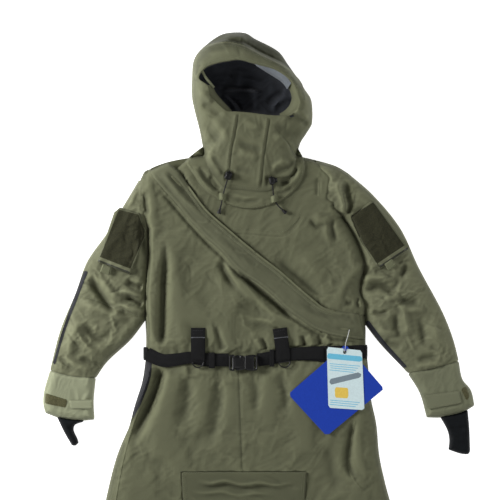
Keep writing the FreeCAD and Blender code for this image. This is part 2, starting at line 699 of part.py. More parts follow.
cord_lock("cord_lock_right", (-51.4, 429, 52), (0, 0, 1), -15.6)
cord_lock("cord_lock_left", (52.1, 417, 51.5), (1, 0, 0), 8.1)

# ---------------------------------------------------------------- belt
front, web = size("FrontTop"), size("WebThick")
REAR_SEAM = -60          # where the two halves of the belt meet behind the back


def strap(label, top, low_edge, side_x):
    """One half of the belt: over the front, round the side and along the back to the middle."""
    face = panel(label + "_front", [top, [top[-1], low_edge[0]], low_edge, [low_edge[-1], top[0]]],
                 "Sizes.FrontTop", "Sizes.WebThick", False)
    out = -1 if side_x < 0 else 1
    outer = side_x + out * web
    y_high, y_low = top[0][1], low_edge[-1][1]
    wall = prism([(side_x, y_low), (outer, y_low), (outer, y_high), (side_x, y_high)], 0, front + web)
    corner = prism([(side_x, REAR_LOW), (outer, REAR_LOW), (outer, REAR_HIGH), (side_x, REAR_HIGH)], 0, web)
    rear = prism([(REAR_SEAM, REAR_LOW), (side_x, REAR_LOW), (side_x, REAR_HIGH), (REAR_SEAM, REAR_HIGH)],
                 0, web)
    return keep(label, fuse(face, wall, corner, rear))


strap("belt_right",
      [(-253.2, 28), (-228, 14), (-205, 5), (-172, 5), (-136, 5), (-100, 5), (-51, 5)],
      [(-51, -26), (-80, -26), (-109, -25), (-142, -15), (-180, -24), (-203, -27), (-228, -20), (-253.2, -4)],
      -253.2)
strap("belt_left",
      [(279.4, 24), (183, 24), (98, 18), (18, 5)],
      [(18, -26), (98, -13), (183, -13), (279.4, -7)],
      279.4)


LOOP_LOW, LOOP_SEWN, LOOP_HIGH = -12, 46, 65
RING_Y = -15             # the D-ring's bar
slack = size("Slack")


def belt_loop(middle_x, tilt):
    """Webbing that is sewn down at its top and passes over the belt to its ring."""
    half = size("LoopWide") / 2
    over = block((-half, LOOP_LOW, front + web + slack), (half, LOOP_HIGH, front + 2 * web + slack))
    sewn = block((-half, LOOP_SEWN, front), (half, LOOP_HIGH, front + 2 * web))
    loop = fuse(over, sewn)
    loop.Placement = FreeCAD.Placement(Vec(middle_x, 0, 0), FreeCAD.Rotation(UP, tilt))
    return loop


def ring(label, middle_x, tilt):
    """A D-ring: half of a torus and its straight bar, lying below the belt loop."""
    wire_r = size("RingWire") / 2
    reach = size("RingReach")
    z = front + web + 2 * slack + wire_r
    torus = doc.addObject("Part::Torus", label + "_bow")
    torus.Radius1 = reach
    torus.Radius2 = wire_r
    torus.Placement.Base = Vec(0, RING_Y, z)
    low_half = block((-2 * reach, RING_Y - 2 * reach, z - 5), (2 * reach, RING_Y, z + 5))
    bow = common(torus, low_half)
    bar = rod((-reach, RING_Y, z), (reach, RING_Y, z), wire_r)
    whole = fuse(bow, bar)
    whole.Placement = FreeCAD.Placement(Vec(middle_x, 0, 0), FreeCAD.Rotation(UP, tilt))
    return keep(label, whole)


keep("belt_loops", group(belt_loop(-124, 0), belt_loop(80, 8)))
ring("d_ring_right", -124, 0)
ring("d_ring_left", 80, 8)


def belt_keeper(low_x, high_x, y_low, y_high):
    """An elastic keeper that holds the belt's doubled end down."""
    outer = block((low_x, y_low - 2, front), (high_x, y_high + 2, front + web + 2.6))
    inside = block((low_x - 1, y_low - slack, front - 1),
                   (high_x + 1, y_high + slack, front + web + 2 * slack))
    return cut(outer, inside)


keep("belt_keepers", group(belt_keeper(-98, -84, -29, 6), belt_keeper(46.8, 58, -25, 13)))

# Side-release buckle: the socket is on the right half of the belt, the plug on the left.
BUCKLE_LOW, BUCKLE_HIGH = -36, 2
SOCKET_FROM, SOCKET_TO, PLUG_TO = -50, -14, 18
BUCKLE_BASE = front + web + 0.5
tall, wall = size("BuckleTall"), size("BuckleWall")
BUCKLE_TOP = BUCKLE_BASE + tall
WINDOW_AT = SOCKET_FROM + 13      # side windows that the prongs snap into


def web_slot(from_x):
    """The slot that the belt's end is threaded through."""
    return block((from_x, BUCKLE_LOW + 3, BUCKLE_BASE - 1), (from_x + 4, BUCKLE_HIGH - 3, BUCKLE_TOP + 1))


socket = block((SOCKET_FROM, BUCKLE_LOW, BUCKLE_BASE), (SOCKET_TO, BUCKLE_HIGH, BUCKLE_TOP))
mouth = block((SOCKET_FROM + 10, BUCKLE_LOW + 3, BUCKLE_BASE + wall),
              (SOCKET_TO + 1, BUCKLE_HIGH - 3, BUCKLE_TOP - wall))
window = block((WINDOW_AT, BUCKLE_LOW - 1, BUCKLE_BASE + wall),
               (WINDOW_AT + 14, BUCKLE_HIGH + 1, BUCKLE_TOP - wall))
keep("buckle_socket", cut(cut(cut(socket, mouth), window), web_slot(SOCKET_FROM + 4)))
PLUG_FROM = SOCKET_TO + 0.5
PRONG_WIDE = 6
handle = block((PLUG_FROM, BUCKLE_LOW, BUCKLE_BASE), (PLUG_TO, BUCKLE_HIGH, BUCKLE_TOP))
prong_low, prong_high = BUCKLE_BASE + wall + 0.5, BUCKLE_TOP - wall - 0.5
prongs = [block((WINDOW_AT + 0.6, y, prong_low), (PLUG_FROM, y + PRONG_WIDE, prong_high))
          for y in (BUCKLE_LOW + 3.6, BUCKLE_HIGH - 3.6 - PRONG_WIDE)]
middle_y = (BUCKLE_LOW + BUCKLE_HIGH) / 2
guide = block((WINDOW_AT + 3, middle_y - 3, prong_low), (PLUG_FROM, middle_y + 3, prong_high))
keep("buckle_plug", cut(fuse(handle, guide, *prongs), web_slot(PLUG_TO - 8)))

# ---------------------------------------------------------------- hang tags
blue = panel("blue_card", closed((90, -92), (183, -193), (321, -79), (228, 28)),
             "Sizes.FrontTop + Sizes.WebThick + Sizes.CardLift", "Sizes.CardThick")
pale = panel("pale_card", closed((182, 22), (268, 13), (274, -131), (186, -125)),
             "Sizes.FrontTop + Sizes.WebThick + Sizes.CardLift + Sizes.CardGap", "Sizes.CardThick")
TAG_HOLE = (226, 8)
TAG_HOLE_HALF = 2.5
hole_x, hole_y = TAG_HOLE
for card in (blue, pale):
    pocket(card, closed((hole_x - TAG_HOLE_HALF, hole_y - TAG_HOLE_HALF),
                        (hole_x + TAG_HOLE_HALF, hole_y - TAG_HOLE_HALF),
                        (hole_x + TAG_HOLE_HALF, hole_y + TAG_HOLE_HALF),
                        (hole_x - TAG_HOLE_HALF, hole_y + TAG_HOLE_HALF)),
           "Sizes.FrontTop", "20")
STRING = [(237, 62, 40.4), (234, 47, 42.6), (229, 34, 43.6), (227, 20, 45), (226, 10, 43.6)]
cord("tag_string", STRING, size("StringDia"))

# ---------------------------------------------------------------- check and write
doc.recompute()
for thing in doc.Objects:
    if "Invalid" in thing.State or "Error" in thing.State:
        raise RuntimeError("%s (%s) failed: %s" % (thing.Name, thing.Label, thing.State))
for label, thing in parts.items():
    shape = thing.Shape
    if shape.isNull() or not shape.isValid() or not shape.Solids:
        raise RuntimeError("%s has no valid solid" % label)
    shape.exportStep("parts/%s.step" % label)
print("%d parts" % len(parts))
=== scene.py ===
"""The looks of the protective suit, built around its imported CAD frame.

Lengths in the tables are millimetres in the frame's own axes: +X to the wearer's left,
+Y to the hood, +Z out of the front. The suit lies on its back and is seen from above.
"""

import json
import math

import bpy
import numpy as np
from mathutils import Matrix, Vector
from mathutils.kdtree import KDTree

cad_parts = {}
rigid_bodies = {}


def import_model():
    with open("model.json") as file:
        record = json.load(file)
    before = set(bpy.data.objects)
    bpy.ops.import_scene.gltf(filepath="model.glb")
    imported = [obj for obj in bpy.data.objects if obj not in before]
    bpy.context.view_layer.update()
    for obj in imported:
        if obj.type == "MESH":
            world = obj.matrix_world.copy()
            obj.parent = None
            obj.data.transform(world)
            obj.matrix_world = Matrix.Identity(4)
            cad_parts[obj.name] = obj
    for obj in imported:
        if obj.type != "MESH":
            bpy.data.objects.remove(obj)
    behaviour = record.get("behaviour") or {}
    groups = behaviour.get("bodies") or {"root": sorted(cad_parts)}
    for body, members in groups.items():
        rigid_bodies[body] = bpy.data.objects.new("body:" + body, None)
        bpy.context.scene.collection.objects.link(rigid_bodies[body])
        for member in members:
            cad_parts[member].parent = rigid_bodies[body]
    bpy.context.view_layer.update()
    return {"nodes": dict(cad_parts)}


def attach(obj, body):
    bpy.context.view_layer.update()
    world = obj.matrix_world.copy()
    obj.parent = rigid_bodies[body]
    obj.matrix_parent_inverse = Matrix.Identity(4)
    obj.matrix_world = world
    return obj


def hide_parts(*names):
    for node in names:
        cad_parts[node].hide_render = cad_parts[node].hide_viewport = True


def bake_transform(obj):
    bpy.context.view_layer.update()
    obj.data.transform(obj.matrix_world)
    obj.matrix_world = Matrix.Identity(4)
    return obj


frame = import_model()

MM = 0.001


# ============================================================ curves and outlines
def smooth_run(points, step=4.0):
    """Points along a smooth curve through the given ones; two points give a line."""
    p = np.array(points, float)
    if len(p) == 2:
        count = max(1, int(np.linalg.norm(p[1] - p[0]) / step))
        t = np.linspace(0, 1, count + 1)[:, None]
        return p[0] * (1 - t) + p[1] * t
    padded = np.vstack([2 * p[0] - p[1], p, 2 * p[-1] - p[-2]])
    out = []
    for i in range(1, len(padded) - 2):
        a, b, c, d = padded[i - 1:i + 3]
        ab, bc, cd = (max(np.linalg.norm(v), 1e-6) ** 0.5 for v in (b - a, c - b, d - c))
        into = bc * ((b - a) / ab - (c - a) / (ab + bc)) + (c - b)
        outof = bc * ((d - c) / cd - (d - b) / (bc + cd)) + (c - b)
        count = max(1, int(np.linalg.norm(c - b) / step))
        t = np.linspace(0, 1, count, endpoint=False)[:, None]
        h00, h10 = 2 * t ** 3 - 3 * t ** 2 + 1, t ** 3 - 2 * t ** 2 + t
        h01, h11 = -2 * t ** 3 + 3 * t ** 2, t ** 3 - t ** 2
        out.append(h00 * b + h10 * into + h01 * c + h11 * outof)
    out.append(p[-1:])
    return np.vstack(out)


class Outline:
    """A closed outline made of runs, with its inside and the distance to its edge."""

    def __init__(self, *runs, step=4.0):
        pieces = [smooth_run(run, step)[:-1] for run in runs]
        self.points = np.vstack(pieces)
        fine = []  # points about a millimetre apart, for the distances
        following = np.roll(self.points, -1, axis=0)
        for a, b in zip(self.points, following):
            count = max(1, int(np.linalg.norm(b - a)))
            t = np.linspace(0, 1, count, endpoint=False)[:, None]
            fine.append(a * (1 - t) + b * t)
        self.fine = np.vstack(fine)
        self.tree = KDTree(len(self.fine))
        for i, (x, y) in enumerate(self.fine):
            self.tree.insert((x, y, 0), i)
        self.tree.balance()

    def distance(self, x, y):
        find = self.tree.find
        flat = [find((a, b, 0))[2] for a, b in zip(x.ravel(), y.ravel())]
        return np.array(flat).reshape(x.shape)

    def nearest(self, x, y):
        found = [self.tree.find((a, b, 0))[0] for a, b in zip(x, y)]
        return np.array([(v[0], v[1]) for v in found])

    def inside(self, x, y):
        """Even-odd test for arrays of points."""
        result = np.zeros(x.shape, bool)
        p, q = self.points, np.roll(self.points, -1, axis=0)
        for (x1, y1), (x2, y2) in zip(p, q):
            if y1 == y2:
                continue
            crosses = (y1 > y) != (y2 > y)
            result ^= crosses & (x < (x2 - x1) * (y - y1) / (y2 - y1) + x1)
        return result


def closed(*points):
    """Straight runs round a polygon."""
    return [[a, b] for a, b in zip(points, points[1:] + points[:1])]


def shifted(points, by_x, by_y):
    """Points in plan, moved by two distances."""
    return [(x + by_x, y + by_y) for x, y in points]


def sideways(line):
    """The unit vectors to the left of a line, at each of its points."""
    tangent = np.gradient(line, axis=0)
    tangent /= np.linalg.norm(tangent, axis=1)[:, None]
    return np.column_stack([-tangent[:, 1], tangent[:, 0]])


def lifted(surface, by):
    """The same surface, some millimetres higher, or lower where the value is negative."""
    return lambda x, y: surface(x, y) + by


# ============================================================ noise and folds
def lattice_angle(ix, iy, seed):
    """A direction for each corner of the noise's grid, worked out from its numbers."""
    mask = 0xFFFFFFFF
    h = (ix * 374761393 + iy * 668265263 + seed * 974634777) & mask
    h = ((h ^ (h >> 13)) * 1274126177) & mask
    return ((h ^ (h >> 16)) & 0xFFFF) / 65535.0 * 2 * math.pi


def noise(x, y, seed=0):
    """Gradient noise of about -1 to 1."""
    ix, iy = np.floor(x).astype(np.int64), np.floor(y).astype(np.int64)
    fx, fy = x - ix, y - iy
    ux, uy = fx ** 3 * (fx * (fx * 6 - 15) + 10), fy ** 3 * (fy * (fy * 6 - 15) + 10)

    def corner(dx, dy):
        angle = lattice_angle(ix + dx, iy + dy, seed)
        return np.cos(angle) * (fx - dx) + np.sin(angle) * (fy - dy)

    low = corner(0, 0) * (1 - ux) + corner(1, 0) * ux
    high = corner(0, 1) * (1 - ux) + corner(1, 1) * ux
    return (low * (1 - uy) + high * uy) * 1.5


def turned(x, y, degrees):
    """The coordinates of points in axes that are turned by some degrees."""
    c, s = math.cos(math.radians(degrees)), math.sin(math.radians(degrees))
    return x * c + y * s, -x * s + y * c


def creases(x, y, along, across, degrees, seed):
    """Soft, slightly wandering wrinkles that run in one direction, above and below 0."""
    u, v = turned(x, y, degrees)
    wander = 0.35 * noise(u / along, v / along, seed + 7)
    n = noise(u / along, v / across + wander * 2.2, seed)
    return 1 - np.abs(n) * 2.2 - 0.4


def ease(t):
    """A smooth step from 0 to 1."""
    t = np.clip(t, 0, 1)
    return t * t * (3 - 2 * t)


def dome(t):
    """A quarter circle's rise from 0 to 1."""
    t = np.clip(t, 0, 1)
    return np.sqrt(1 - (1 - t) ** 2)


class Fold:
    """A ridge (height above 0) or a valley along a curve.

    left and right are its half widths on the two sides of the curve's direction; power
    under 2 gives a sharper crest; fade is the share of its length that each end tapers.
    """

    def __init__(self, height, left, right, *points, power=2.0, fade=0.3, fade_end=None):
        self.height, self.left, self.right = height, left, right
        self.power, self.fade = power, fade
        self.fade_end = fade if fade_end is None else fade_end
        self.line = smooth_run(points, 7.0)

    def add_to(self, z, x, y):
        reach = 2.6 * max(self.left, self.right)
        low, high = self.line.min(0) - reach, self.line.max(0) + reach
        near = (x > low[0]) & (x < high[0]) & (y > low[1]) & (y < high[1])
        if not near.any():
            return
        px, py = x[near][:, None], y[near][:, None]
        a, b = self.line[:-1], self.line[1:]
        d = b - a
        length2 = (d ** 2).sum(1)
        t = np.clip(((px - a[:, 0]) * d[:, 0] + (py - a[:, 1]) * d[:, 1]) / length2, 0, 1)
        gap2 = (px - a[:, 0] - t * d[:, 0]) ** 2 + (py - a[:, 1] - t * d[:, 1]) ** 2
        best = gap2.argmin(1)
        row = np.arange(len(best))
        gap = np.sqrt(gap2[row, best])
        cross = d[best, 0] * (py[:, 0] - a[best, 1]) - d[best, 1] * (px[:, 0] - a[best, 0])
        width = np.where(cross > 0, self.left, self.right)
        s = (best + t[row, best]) / len(a)
        envelope = ease(s / max(self.fade, 1e-3)) * ease((1 - s) / max(self.fade_end, 1e-3))
        z[near] += self.height * envelope * np.exp(-(gap / width) ** self.power)


def scattered(seed, count, corners, degrees, spread, long, wide, tall):
    """Short sharp creases strewn over a four-cornered area, mostly in one direction."""
    draw = np.random.default_rng(seed)
    a, b, c, d = (np.array(q, float) for q in corners)
    folds = []
    for k in range(count):
        u, v = draw.random(2)
        middle = (a * (1 - u) + b * u) * (1 - v) + (d * (1 - u) + c * u) * v
        way = math.radians(degrees + draw.normal(0, spread))
        half = 0.5 * draw.uniform(*long)
        step = np.array([math.cos(way), math.sin(way)]) * half
        bow = np.array([-step[1], step[0]]) * draw.normal(0, 0.16)
        height = draw.uniform(*tall) * (1 if k % 3 else -1)
        near, far = draw.uniform(*wide), draw.uniform(*wide) * 1.8
        folds.append(Fold(height, near, far, middle - step, middle + bow, middle + step, power=1.25,
                          fade=0.45))
    return folds


def strewn(*areas):
    """The short creases of several areas, each given as the values that scattered takes."""
    return [crease for area in areas for crease in scattered(*area)]


def add_folds(z, x, y, folds):
    """Adds each fold to the heights z, which it changes in place and returns."""
    for item in folds:
        item.add_to(z, x, y)
    return z


# ============================================================ meshes
def to_object(name, vertices, faces, material=None, sharp=55):
    """A mesh object from points in millimetres, shaded smooth but for its sharp edges."""
    mesh = bpy.data.meshes.new(name)
    mesh.from_pydata([tuple(v) for v in np.asarray(vertices) * MM], [], faces)
    mesh.validate()
    mesh.update()
    obj = bpy.data.objects.new(name, mesh)
    bpy.context.scene.collection.objects.link(obj)
    mesh.shade_smooth()
    if sharp:
        mesh.set_sharp_from_angle(angle=math.radians(sharp))
    if material:
        mesh.materials.append(material)
    return obj


CLEAR_OF_EDGE = 0.32  # grid points nearer to an edge than this share of a step are left out


def grid_over(outline, step, holes=()):
    """Quads over an outline, with their edge drawn onto it: points, faces and border edges."""
    low, high = outline.points.min(0) - step, outline.points.max(0) + step
    xs = np.arange(low[0], high[0] + step, step)
    ys = np.arange(low[1], high[1] + step, step)
    gx, gy = np.meshgrid(xs, ys, indexing="ij")
    keep = outline.inside(gx, gy)
    for hole in holes:
        keep &= ~hole.inside(gx, gy)
    rims = (outline, *holes)
    margin = np.full(gx.shape, np.inf)
    for line in rims:
        margin[keep] = np.minimum(margin[keep], line.distance(gx[keep], gy[keep]))
    keep &= margin > CLEAR_OF_EDGE * step
    cell = keep[:-1, :-1] & keep[1:, :-1] & keep[:-1, 1:] & keep[1:, 1:]
    used = np.zeros_like(keep)
    for dx in (0, 1):
        for dy in (0, 1):
            used[dx:used.shape[0] - 1 + dx, dy:used.shape[1] - 1 + dy] |= cell
    number = -np.ones(keep.shape, int)
    number[used] = np.arange(used.sum())
    points = np.column_stack([gx[used], gy[used]])
    i, j = np.nonzero(cell)
    faces = np.column_stack([number[i, j], number[i + 1, j], number[i + 1, j + 1], number[i, j + 1]])
    edges = np.vstack([faces[:, [0, 1]], faces[:, [1, 2]], faces[:, [2, 3]], faces[:, [3, 0]]])
    key = np.sort(edges, axis=1)
    _, first, counts = np.unique(key, axis=0, return_index=True, return_counts=True)
    border = edges[first[counts == 1]]
    rim = np.unique(border)
    choices = [line.nearest(points[rim, 0], points[rim, 1]) for line in rims]
    gaps = np.array([np.linalg.norm(c - points[rim], axis=1) for c in choices])
    which = gaps.argmin(0)
    for k, c in enumerate(choices):
        chosen = which == k
        points[rim[chosen]] = c[chosen]
    return points, faces, border


def slab(name, outline, top, bottom, material, step=4.0, holes=(), sharp=55):
    """A closed piece over an outline: top and bottom are heights or functions of x, y."""
    points, faces, border = grid_over(outline, step, holes)
    x, y = points[:, 0], points[:, 1]
    z_high = top(x, y) if callable(top) else np.full(len(x), float(top))
    z_low = bottom(x, y) if callable(bottom) else np.full(len(x), float(bottom))
    z_low = np.minimum(z_low, z_high - 0.6)
    count = len(points)
    vertices = np.vstack([np.column_stack([x, y, z_high]), np.column_stack([x, y, z_low])])
    quads = faces.tolist()
    quads += (faces[:, ::-1] + count).tolist()
    quads += np.column_stack([border[:, 1], border[:, 0], border[:, 0] + count,
                              border[:, 1] + count]).tolist()
    return to_object(name, vertices, quads, material, sharp=sharp)


def ribbon(name, line, width, surface, lift, thick, material, step=3.0, columns=5):
    """A strap that follows a line over a surface. line is (x, y) points, width a number or list."""
    p = smooth_run(line, step)
    normal = sideways(p)
    widths = np.interp(np.linspace(0, 1, len(p)), np.linspace(0, 1, np.size(width)), np.atleast_1d(width))
    across = np.linspace(-0.5, 0.5, columns)
    xy = p[:, None, :] + normal[:, None, :] * (widths[:, None, None] * across[None, :, None])
    z = surface(xy[..., 0], xy[..., 1]) if callable(surface) else np.full(xy.shape[:2], float(surface))
    z = z + lift
    rows, cols = xy.shape[:2]
    upper = np.dstack([xy, z + thick])
    lower = np.dstack([xy, z])
    vertices = np.vstack([upper.reshape(-1, 3), lower.reshape(-1, 3)])
    faces = []
    base = rows * cols
    for i in range(rows - 1):
        for j in range(cols - 1):
            a, b = i * cols + j, (i + 1) * cols + j
            faces.append((a, b, b + 1, a + 1))
            faces.append((base + a + 1, base + b + 1, base + b, base + a))
    for i in range(rows - 1):
        a, b = i * cols, (i + 1) * cols
        faces.append((a, base + a, base + b, b))
        a, b = a + cols - 1, b + cols - 1
        faces.append((b, base + b, base + a, a))
    for j in range(cols - 1):
        faces.append((j + 1, base + j + 1, base + j, j))
        a = (rows - 1) * cols + j
        faces.append((a, base + a, base + a + 1, a + 1))
    return to_object(name, vertices, faces, material, sharp=40)


def tube(name, rings, material, sharp=50, capped=True):
    """A mesh through rings of the same number of points; its ends are capped or meet each other."""
    count, across = len(rings), len(rings[0])
    faces = []
    for k in range(count - 1 if capped else count):
        a, b = k * across, (k + 1) % count * across
        for i in range(across):
            j = (i + 1) % across
            faces.append((a + i, a + j, b + j, b + i))
    if capped:
        faces.append(tuple(reversed(range(across))))
        faces.append(tuple(range((count - 1) * across, count * across)))
    return to_object(name, np.vstack(rings), faces, material, sharp=sharp)


def mark_crests(obj):
    """Stores how far each point stands above (or below) the cloth round it, from -1 to 1."""
    mesh = obj.data
    count = len(mesh.vertices)
    place_of = np.empty(count * 3)
    mesh.vertices.foreach_get("co", place_of)
    place_of = place_of.reshape(-1, 3) / MM
    ends = np.empty(len(mesh.edges) * 2, int)
    mesh.edges.foreach_get("vertices", ends)
    a, b = ends.reshape(-1, 2).T
    run = np.hypot(*(place_of[a, :2] - place_of[b, :2]).T)
    level = np.abs(place_of[a, 2] - place_of[b, 2]) < 0.8 + 1.6 * run
    a, b = a[level], b[level]
    links = np.bincount(a, minlength=count) + np.bincount(b, minlength=count)
    z = place_of[:, 2]
    smooth, stages = z.copy(), {}
    for k in range(1, 46):
        total = np.bincount(a, smooth[b], count) + np.bincount(b, smooth[a], count)
        smooth = 0.4 * smooth + 0.6 * np.where(links > 0, total / np.maximum(links, 1), smooth)
        stages[k] = smooth
    crest = 0.85 * (z - stages[5]) + 0.16 * (stages[5] - stages[45])
    layer = mesh.attributes.new("crest", "FLOAT", "POINT")
    layer.data.foreach_set("value", np.clip(crest, -1, 1).astype(np.float32))


def join(name, *objects):
    """One piece out of several meshes."""
    bpy.ops.object.select_all(action="DESELECT")
    for obj in objects:
        obj.select_set(True)
    bpy.context.view_layer.objects.active = objects[0]
    if len(objects) > 1:
        bpy.ops.object.join()
    objects[0].name = name
    objects[0].data.name = name
    return objects[0]


def place(obj, body, *nodes, slot=None):
    """Says which body a piece rides on and which CAD nodes it stands for; slot is not used."""
    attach(obj, body)
    if nodes:
        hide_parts(*nodes)
    return obj


# ============================================================ materials
def srgb(r, g, b):
    """A colour given in screen values of 0 to 255, as the shader wants it."""
    def linear(c):
        c /= 255
        return c / 12.92 if c <= 0.04045 else ((c + 0.055) / 1.055) ** 2.4
    return (linear(r), linear(g), linear(b), 1.0)


def new_material(name, rough, sheen=0.0, coat=0.0):
    """A material, with its node tree and its shader."""
    material = bpy.data.materials.new(name)
    material.use_nodes = True
    shader = material.node_tree.nodes["Principled BSDF"]
    shader.inputs["Roughness"].default_value = rough
    shader.inputs["Sheen Weight"].default_value = sheen
    shader.inputs["Sheen Roughness"].default_value = 0.5
    shader.inputs["Coat Weight"].default_value = coat
    return material, material.node_tree, shader


def node(tree, kind, **values):
    """A new shader node, with its inputs and settings given by name."""
    item = tree.nodes.new(kind)
    for word, value in values.items():
        if word in item.inputs:
            item.inputs[word].default_value = value
        else:
            setattr(item, word, value)
    return item


def mapped(tree, degrees=0.0):
    """Object coordinates in millimetres, turned."""
    coordinate = node(tree, "ShaderNodeTexCoord")
    mapping = node(tree, "ShaderNodeMapping")
    mapping.inputs["Scale"].default_value = [1 / MM] * 3
    mapping.inputs["Rotation"].default_value[2] = math.radians(degrees)
    tree.links.new(coordinate.outputs["Object"], mapping.inputs["Vector"])
    return mapping.outputs["Vector"]


def noise_node(tree, vector, scale, detail=3.0, rough=0.5):
    """Clouds of 0 to 1 with the given scale per millimetre."""
    item = node(tree, "ShaderNodeTexNoise", Scale=scale, Detail=detail, Roughness=rough)
    tree.links.new(vector, item.inputs["Vector"])
    return item.outputs["Fac"]


def wave(tree, vector, pitch, direction):
    """Parallel threads with the given pitch in millimetres."""
    item = node(tree, "ShaderNodeTexWave", Scale=math.tau / 20 / pitch, Distortion=0.6, Detail=1.0)
    item.bands_direction = direction
    tree.links.new(vector, item.inputs["Vector"])
    return item.outputs["Fac"]


def combine(tree, operation, a, b):
    """The sum or product of two sockets or numbers."""
    item = node(tree, "ShaderNodeMath", operation=operation)
    for socket, value in zip(item.inputs, (a, b)):
        if isinstance(value, (int, float)):
            socket.default_value = value
        else:
            tree.links.new(value, socket)
    return item.outputs[0]


def ramp(tree, fac, low, high, at=(0.0, 1.0)):
    """A colour that runs from low to high between the two places in at."""
    item = node(tree, "ShaderNodeValToRGB")
    item.color_ramp.elements[0].position = at[0]
    item.color_ramp.elements[1].position = at[1]
    item.color_ramp.elements[0].color = low
    item.color_ramp.elements[1].color = high
    tree.links.new(fac, item.inputs["Fac"])
    return item.outputs["Color"]


def bump(tree, shader, height, distance):
    """Lets a height stand out of the surface by a distance in millimetres."""
    item = node(tree, "ShaderNodeBump", Strength=1.0, Distance=distance * MM)
    tree.links.new(height, item.inputs["Height"])
    tree.links.new(item.outputs["Normal"], shader.inputs["Normal"])


def scaled(colour, factor):
    """A colour made lighter or darker."""
    return tuple(c * factor for c in colour[:3]) + (1.0,)


# how strongly the crest values paint highlight on ridges and shade in creases
CREST_SHADING = 0.26


def painted_crest_shading(tree):
    """A factor near 1: painted highlight along the cloth's ridges and painted shade in its creases."""
    crest = node(tree, "ShaderNodeAttribute", attribute_name="crest")
    return combine(tree, "ADD", combine(tree, "MULTIPLY", crest.outputs["Fac"], CREST_SHADING), 1.0)


def cloth(name, colour, pitch=0.9, rough=0.82, sheen=0.04, blotch=0.07, depth=0.10):
    """Plain-woven laminate: threads both ways, soft blotches and fine slubs."""
    material, tree, shader = new_material(name, rough, sheen)
    vector = mapped(tree)
    threads = combine(tree, "MULTIPLY", wave(tree, vector, pitch, "X"), wave(tree, vector, pitch, "Y"))
    clouds = noise_node(tree, vector, 0.012, 4.0, 0.6)
    slubs = noise_node(tree, vector, 0.9, 2.0)
    tone = combine(tree, "ADD", combine(tree, "MULTIPLY", clouds, 0.62),
                   combine(tree, "ADD", combine(tree, "MULTIPLY", slubs, 0.22),
                           combine(tree, "MULTIPLY", threads, 0.16)))
    shade = ramp(tree, tone, scaled(colour, 1 - blotch * 2), scaled(colour, 1 + blotch * 2), (0.2, 0.8))
    # the colour is scaled by the crest: painted highlight on ridges, painted shade in creases
    crest_shaded = node(tree, "ShaderNodeVectorMath", operation="SCALE")
    tree.links.new(shade, crest_shaded.inputs[0])
    tree.links.new(painted_crest_shading(tree), crest_shaded.inputs["Scale"])
    tree.links.new(crest_shaded.outputs[0], shader.inputs["Base Color"])
    relief = combine(tree, "ADD", threads, combine(tree, "MULTIPLY", slubs, 0.7))
    bump(tree, shader, relief, depth)
    shader.inputs["Specular IOR Level"].default_value = 0.35
    return material


def pile(name, colour):
    """Hook-and-loop pile: a mat of small loops in short rows."""
    material, tree, shader = new_material(name, 0.95, 0.03)
    vector = mapped(tree, 25)
    loops = node(tree, "ShaderNodeTexVoronoi", Scale=0.75, Randomness=0.9)
    tree.links.new(vector, loops.inputs["Vector"])
    tufts = noise_node(tree, vector, 0.35, 4.0, 0.7)
    tone = combine(tree, "ADD", combine(tree, "MULTIPLY", loops.outputs["Distance"], 0.6),
                   combine(tree, "MULTIPLY", tufts, 0.6))
    shade = ramp(tree, tone, scaled(colour, 1.7), scaled(colour, 0.45), (0.25, 0.85))
    tree.links.new(shade, shader.inputs["Base Color"])
    bump(tree, shader, tone, 0.9)
    return material


def webbing_cloth(name, colour, degrees=0.0):
    """Woven webbing: ribs across the strap and fine threads."""
    material, tree, shader = new_material(name, 0.75)
    shader.inputs["Specular IOR Level"].default_value = 0.25
    vector = mapped(tree, degrees)
    ribs = wave(tree, vector, 2.0, "X")
    threads = wave(tree, vector, 1.1, "Y")
    height = combine(tree, "ADD", ribs, combine(tree, "MULTIPLY", threads, 0.4))
    shade = ramp(tree, height, scaled(colour, 0.6), scaled(colour, 1.6), (0.1, 1.2))
    tree.links.new(shade, shader.inputs["Base Color"])
    bump(tree, shader, height, 0.35)
    return material


def moulded(name, colour, rough=0.42, grain=0.06):
    """Moulded plastic with a fine spark-eroded grain and slightly rubbed high spots."""
    material, tree, shader = new_material(name, rough)
    vector = mapped(tree)
    fine = noise_node(tree, vector, 1.6, 4.0, 0.7)
    broad = noise_node(tree, vector, 0.08, 3.0)
    shade = ramp(tree, broad, scaled(colour, 0.8), scaled(colour, 1.35), (0.3, 0.7))
    tree.links.new(shade, shader.inputs["Base Color"])
    gloss = node(tree, "ShaderNodeMapRange")
    gloss.inputs["To Min"].default_value = rough - 0.08
    gloss.inputs["To Max"].default_value = rough + 0.14
    tree.links.new(fine, gloss.inputs["Value"])
    tree.links.new(gloss.outputs["Result"], shader.inputs["Roughness"])
    bump(tree, shader, fine, grain)
    return material


suit = cloth("suit_laminate", srgb(101, 103, 78))
suit_dark = cloth("suit_laminate_shaded", srgb(90, 92, 69))
suit_light = cloth("suit_laminate_sleeve", srgb(95, 97, 74))
# a darker copy of the suit cloth: painted shade for the crown's hollow behind the brim
crown_painted_shade_cloth = cloth("suit_laminate_crown_painted_shade", srgb(68, 70, 52))
sleeve_cloth = cloth("suit_laminate_arm", srgb(112, 114, 88))
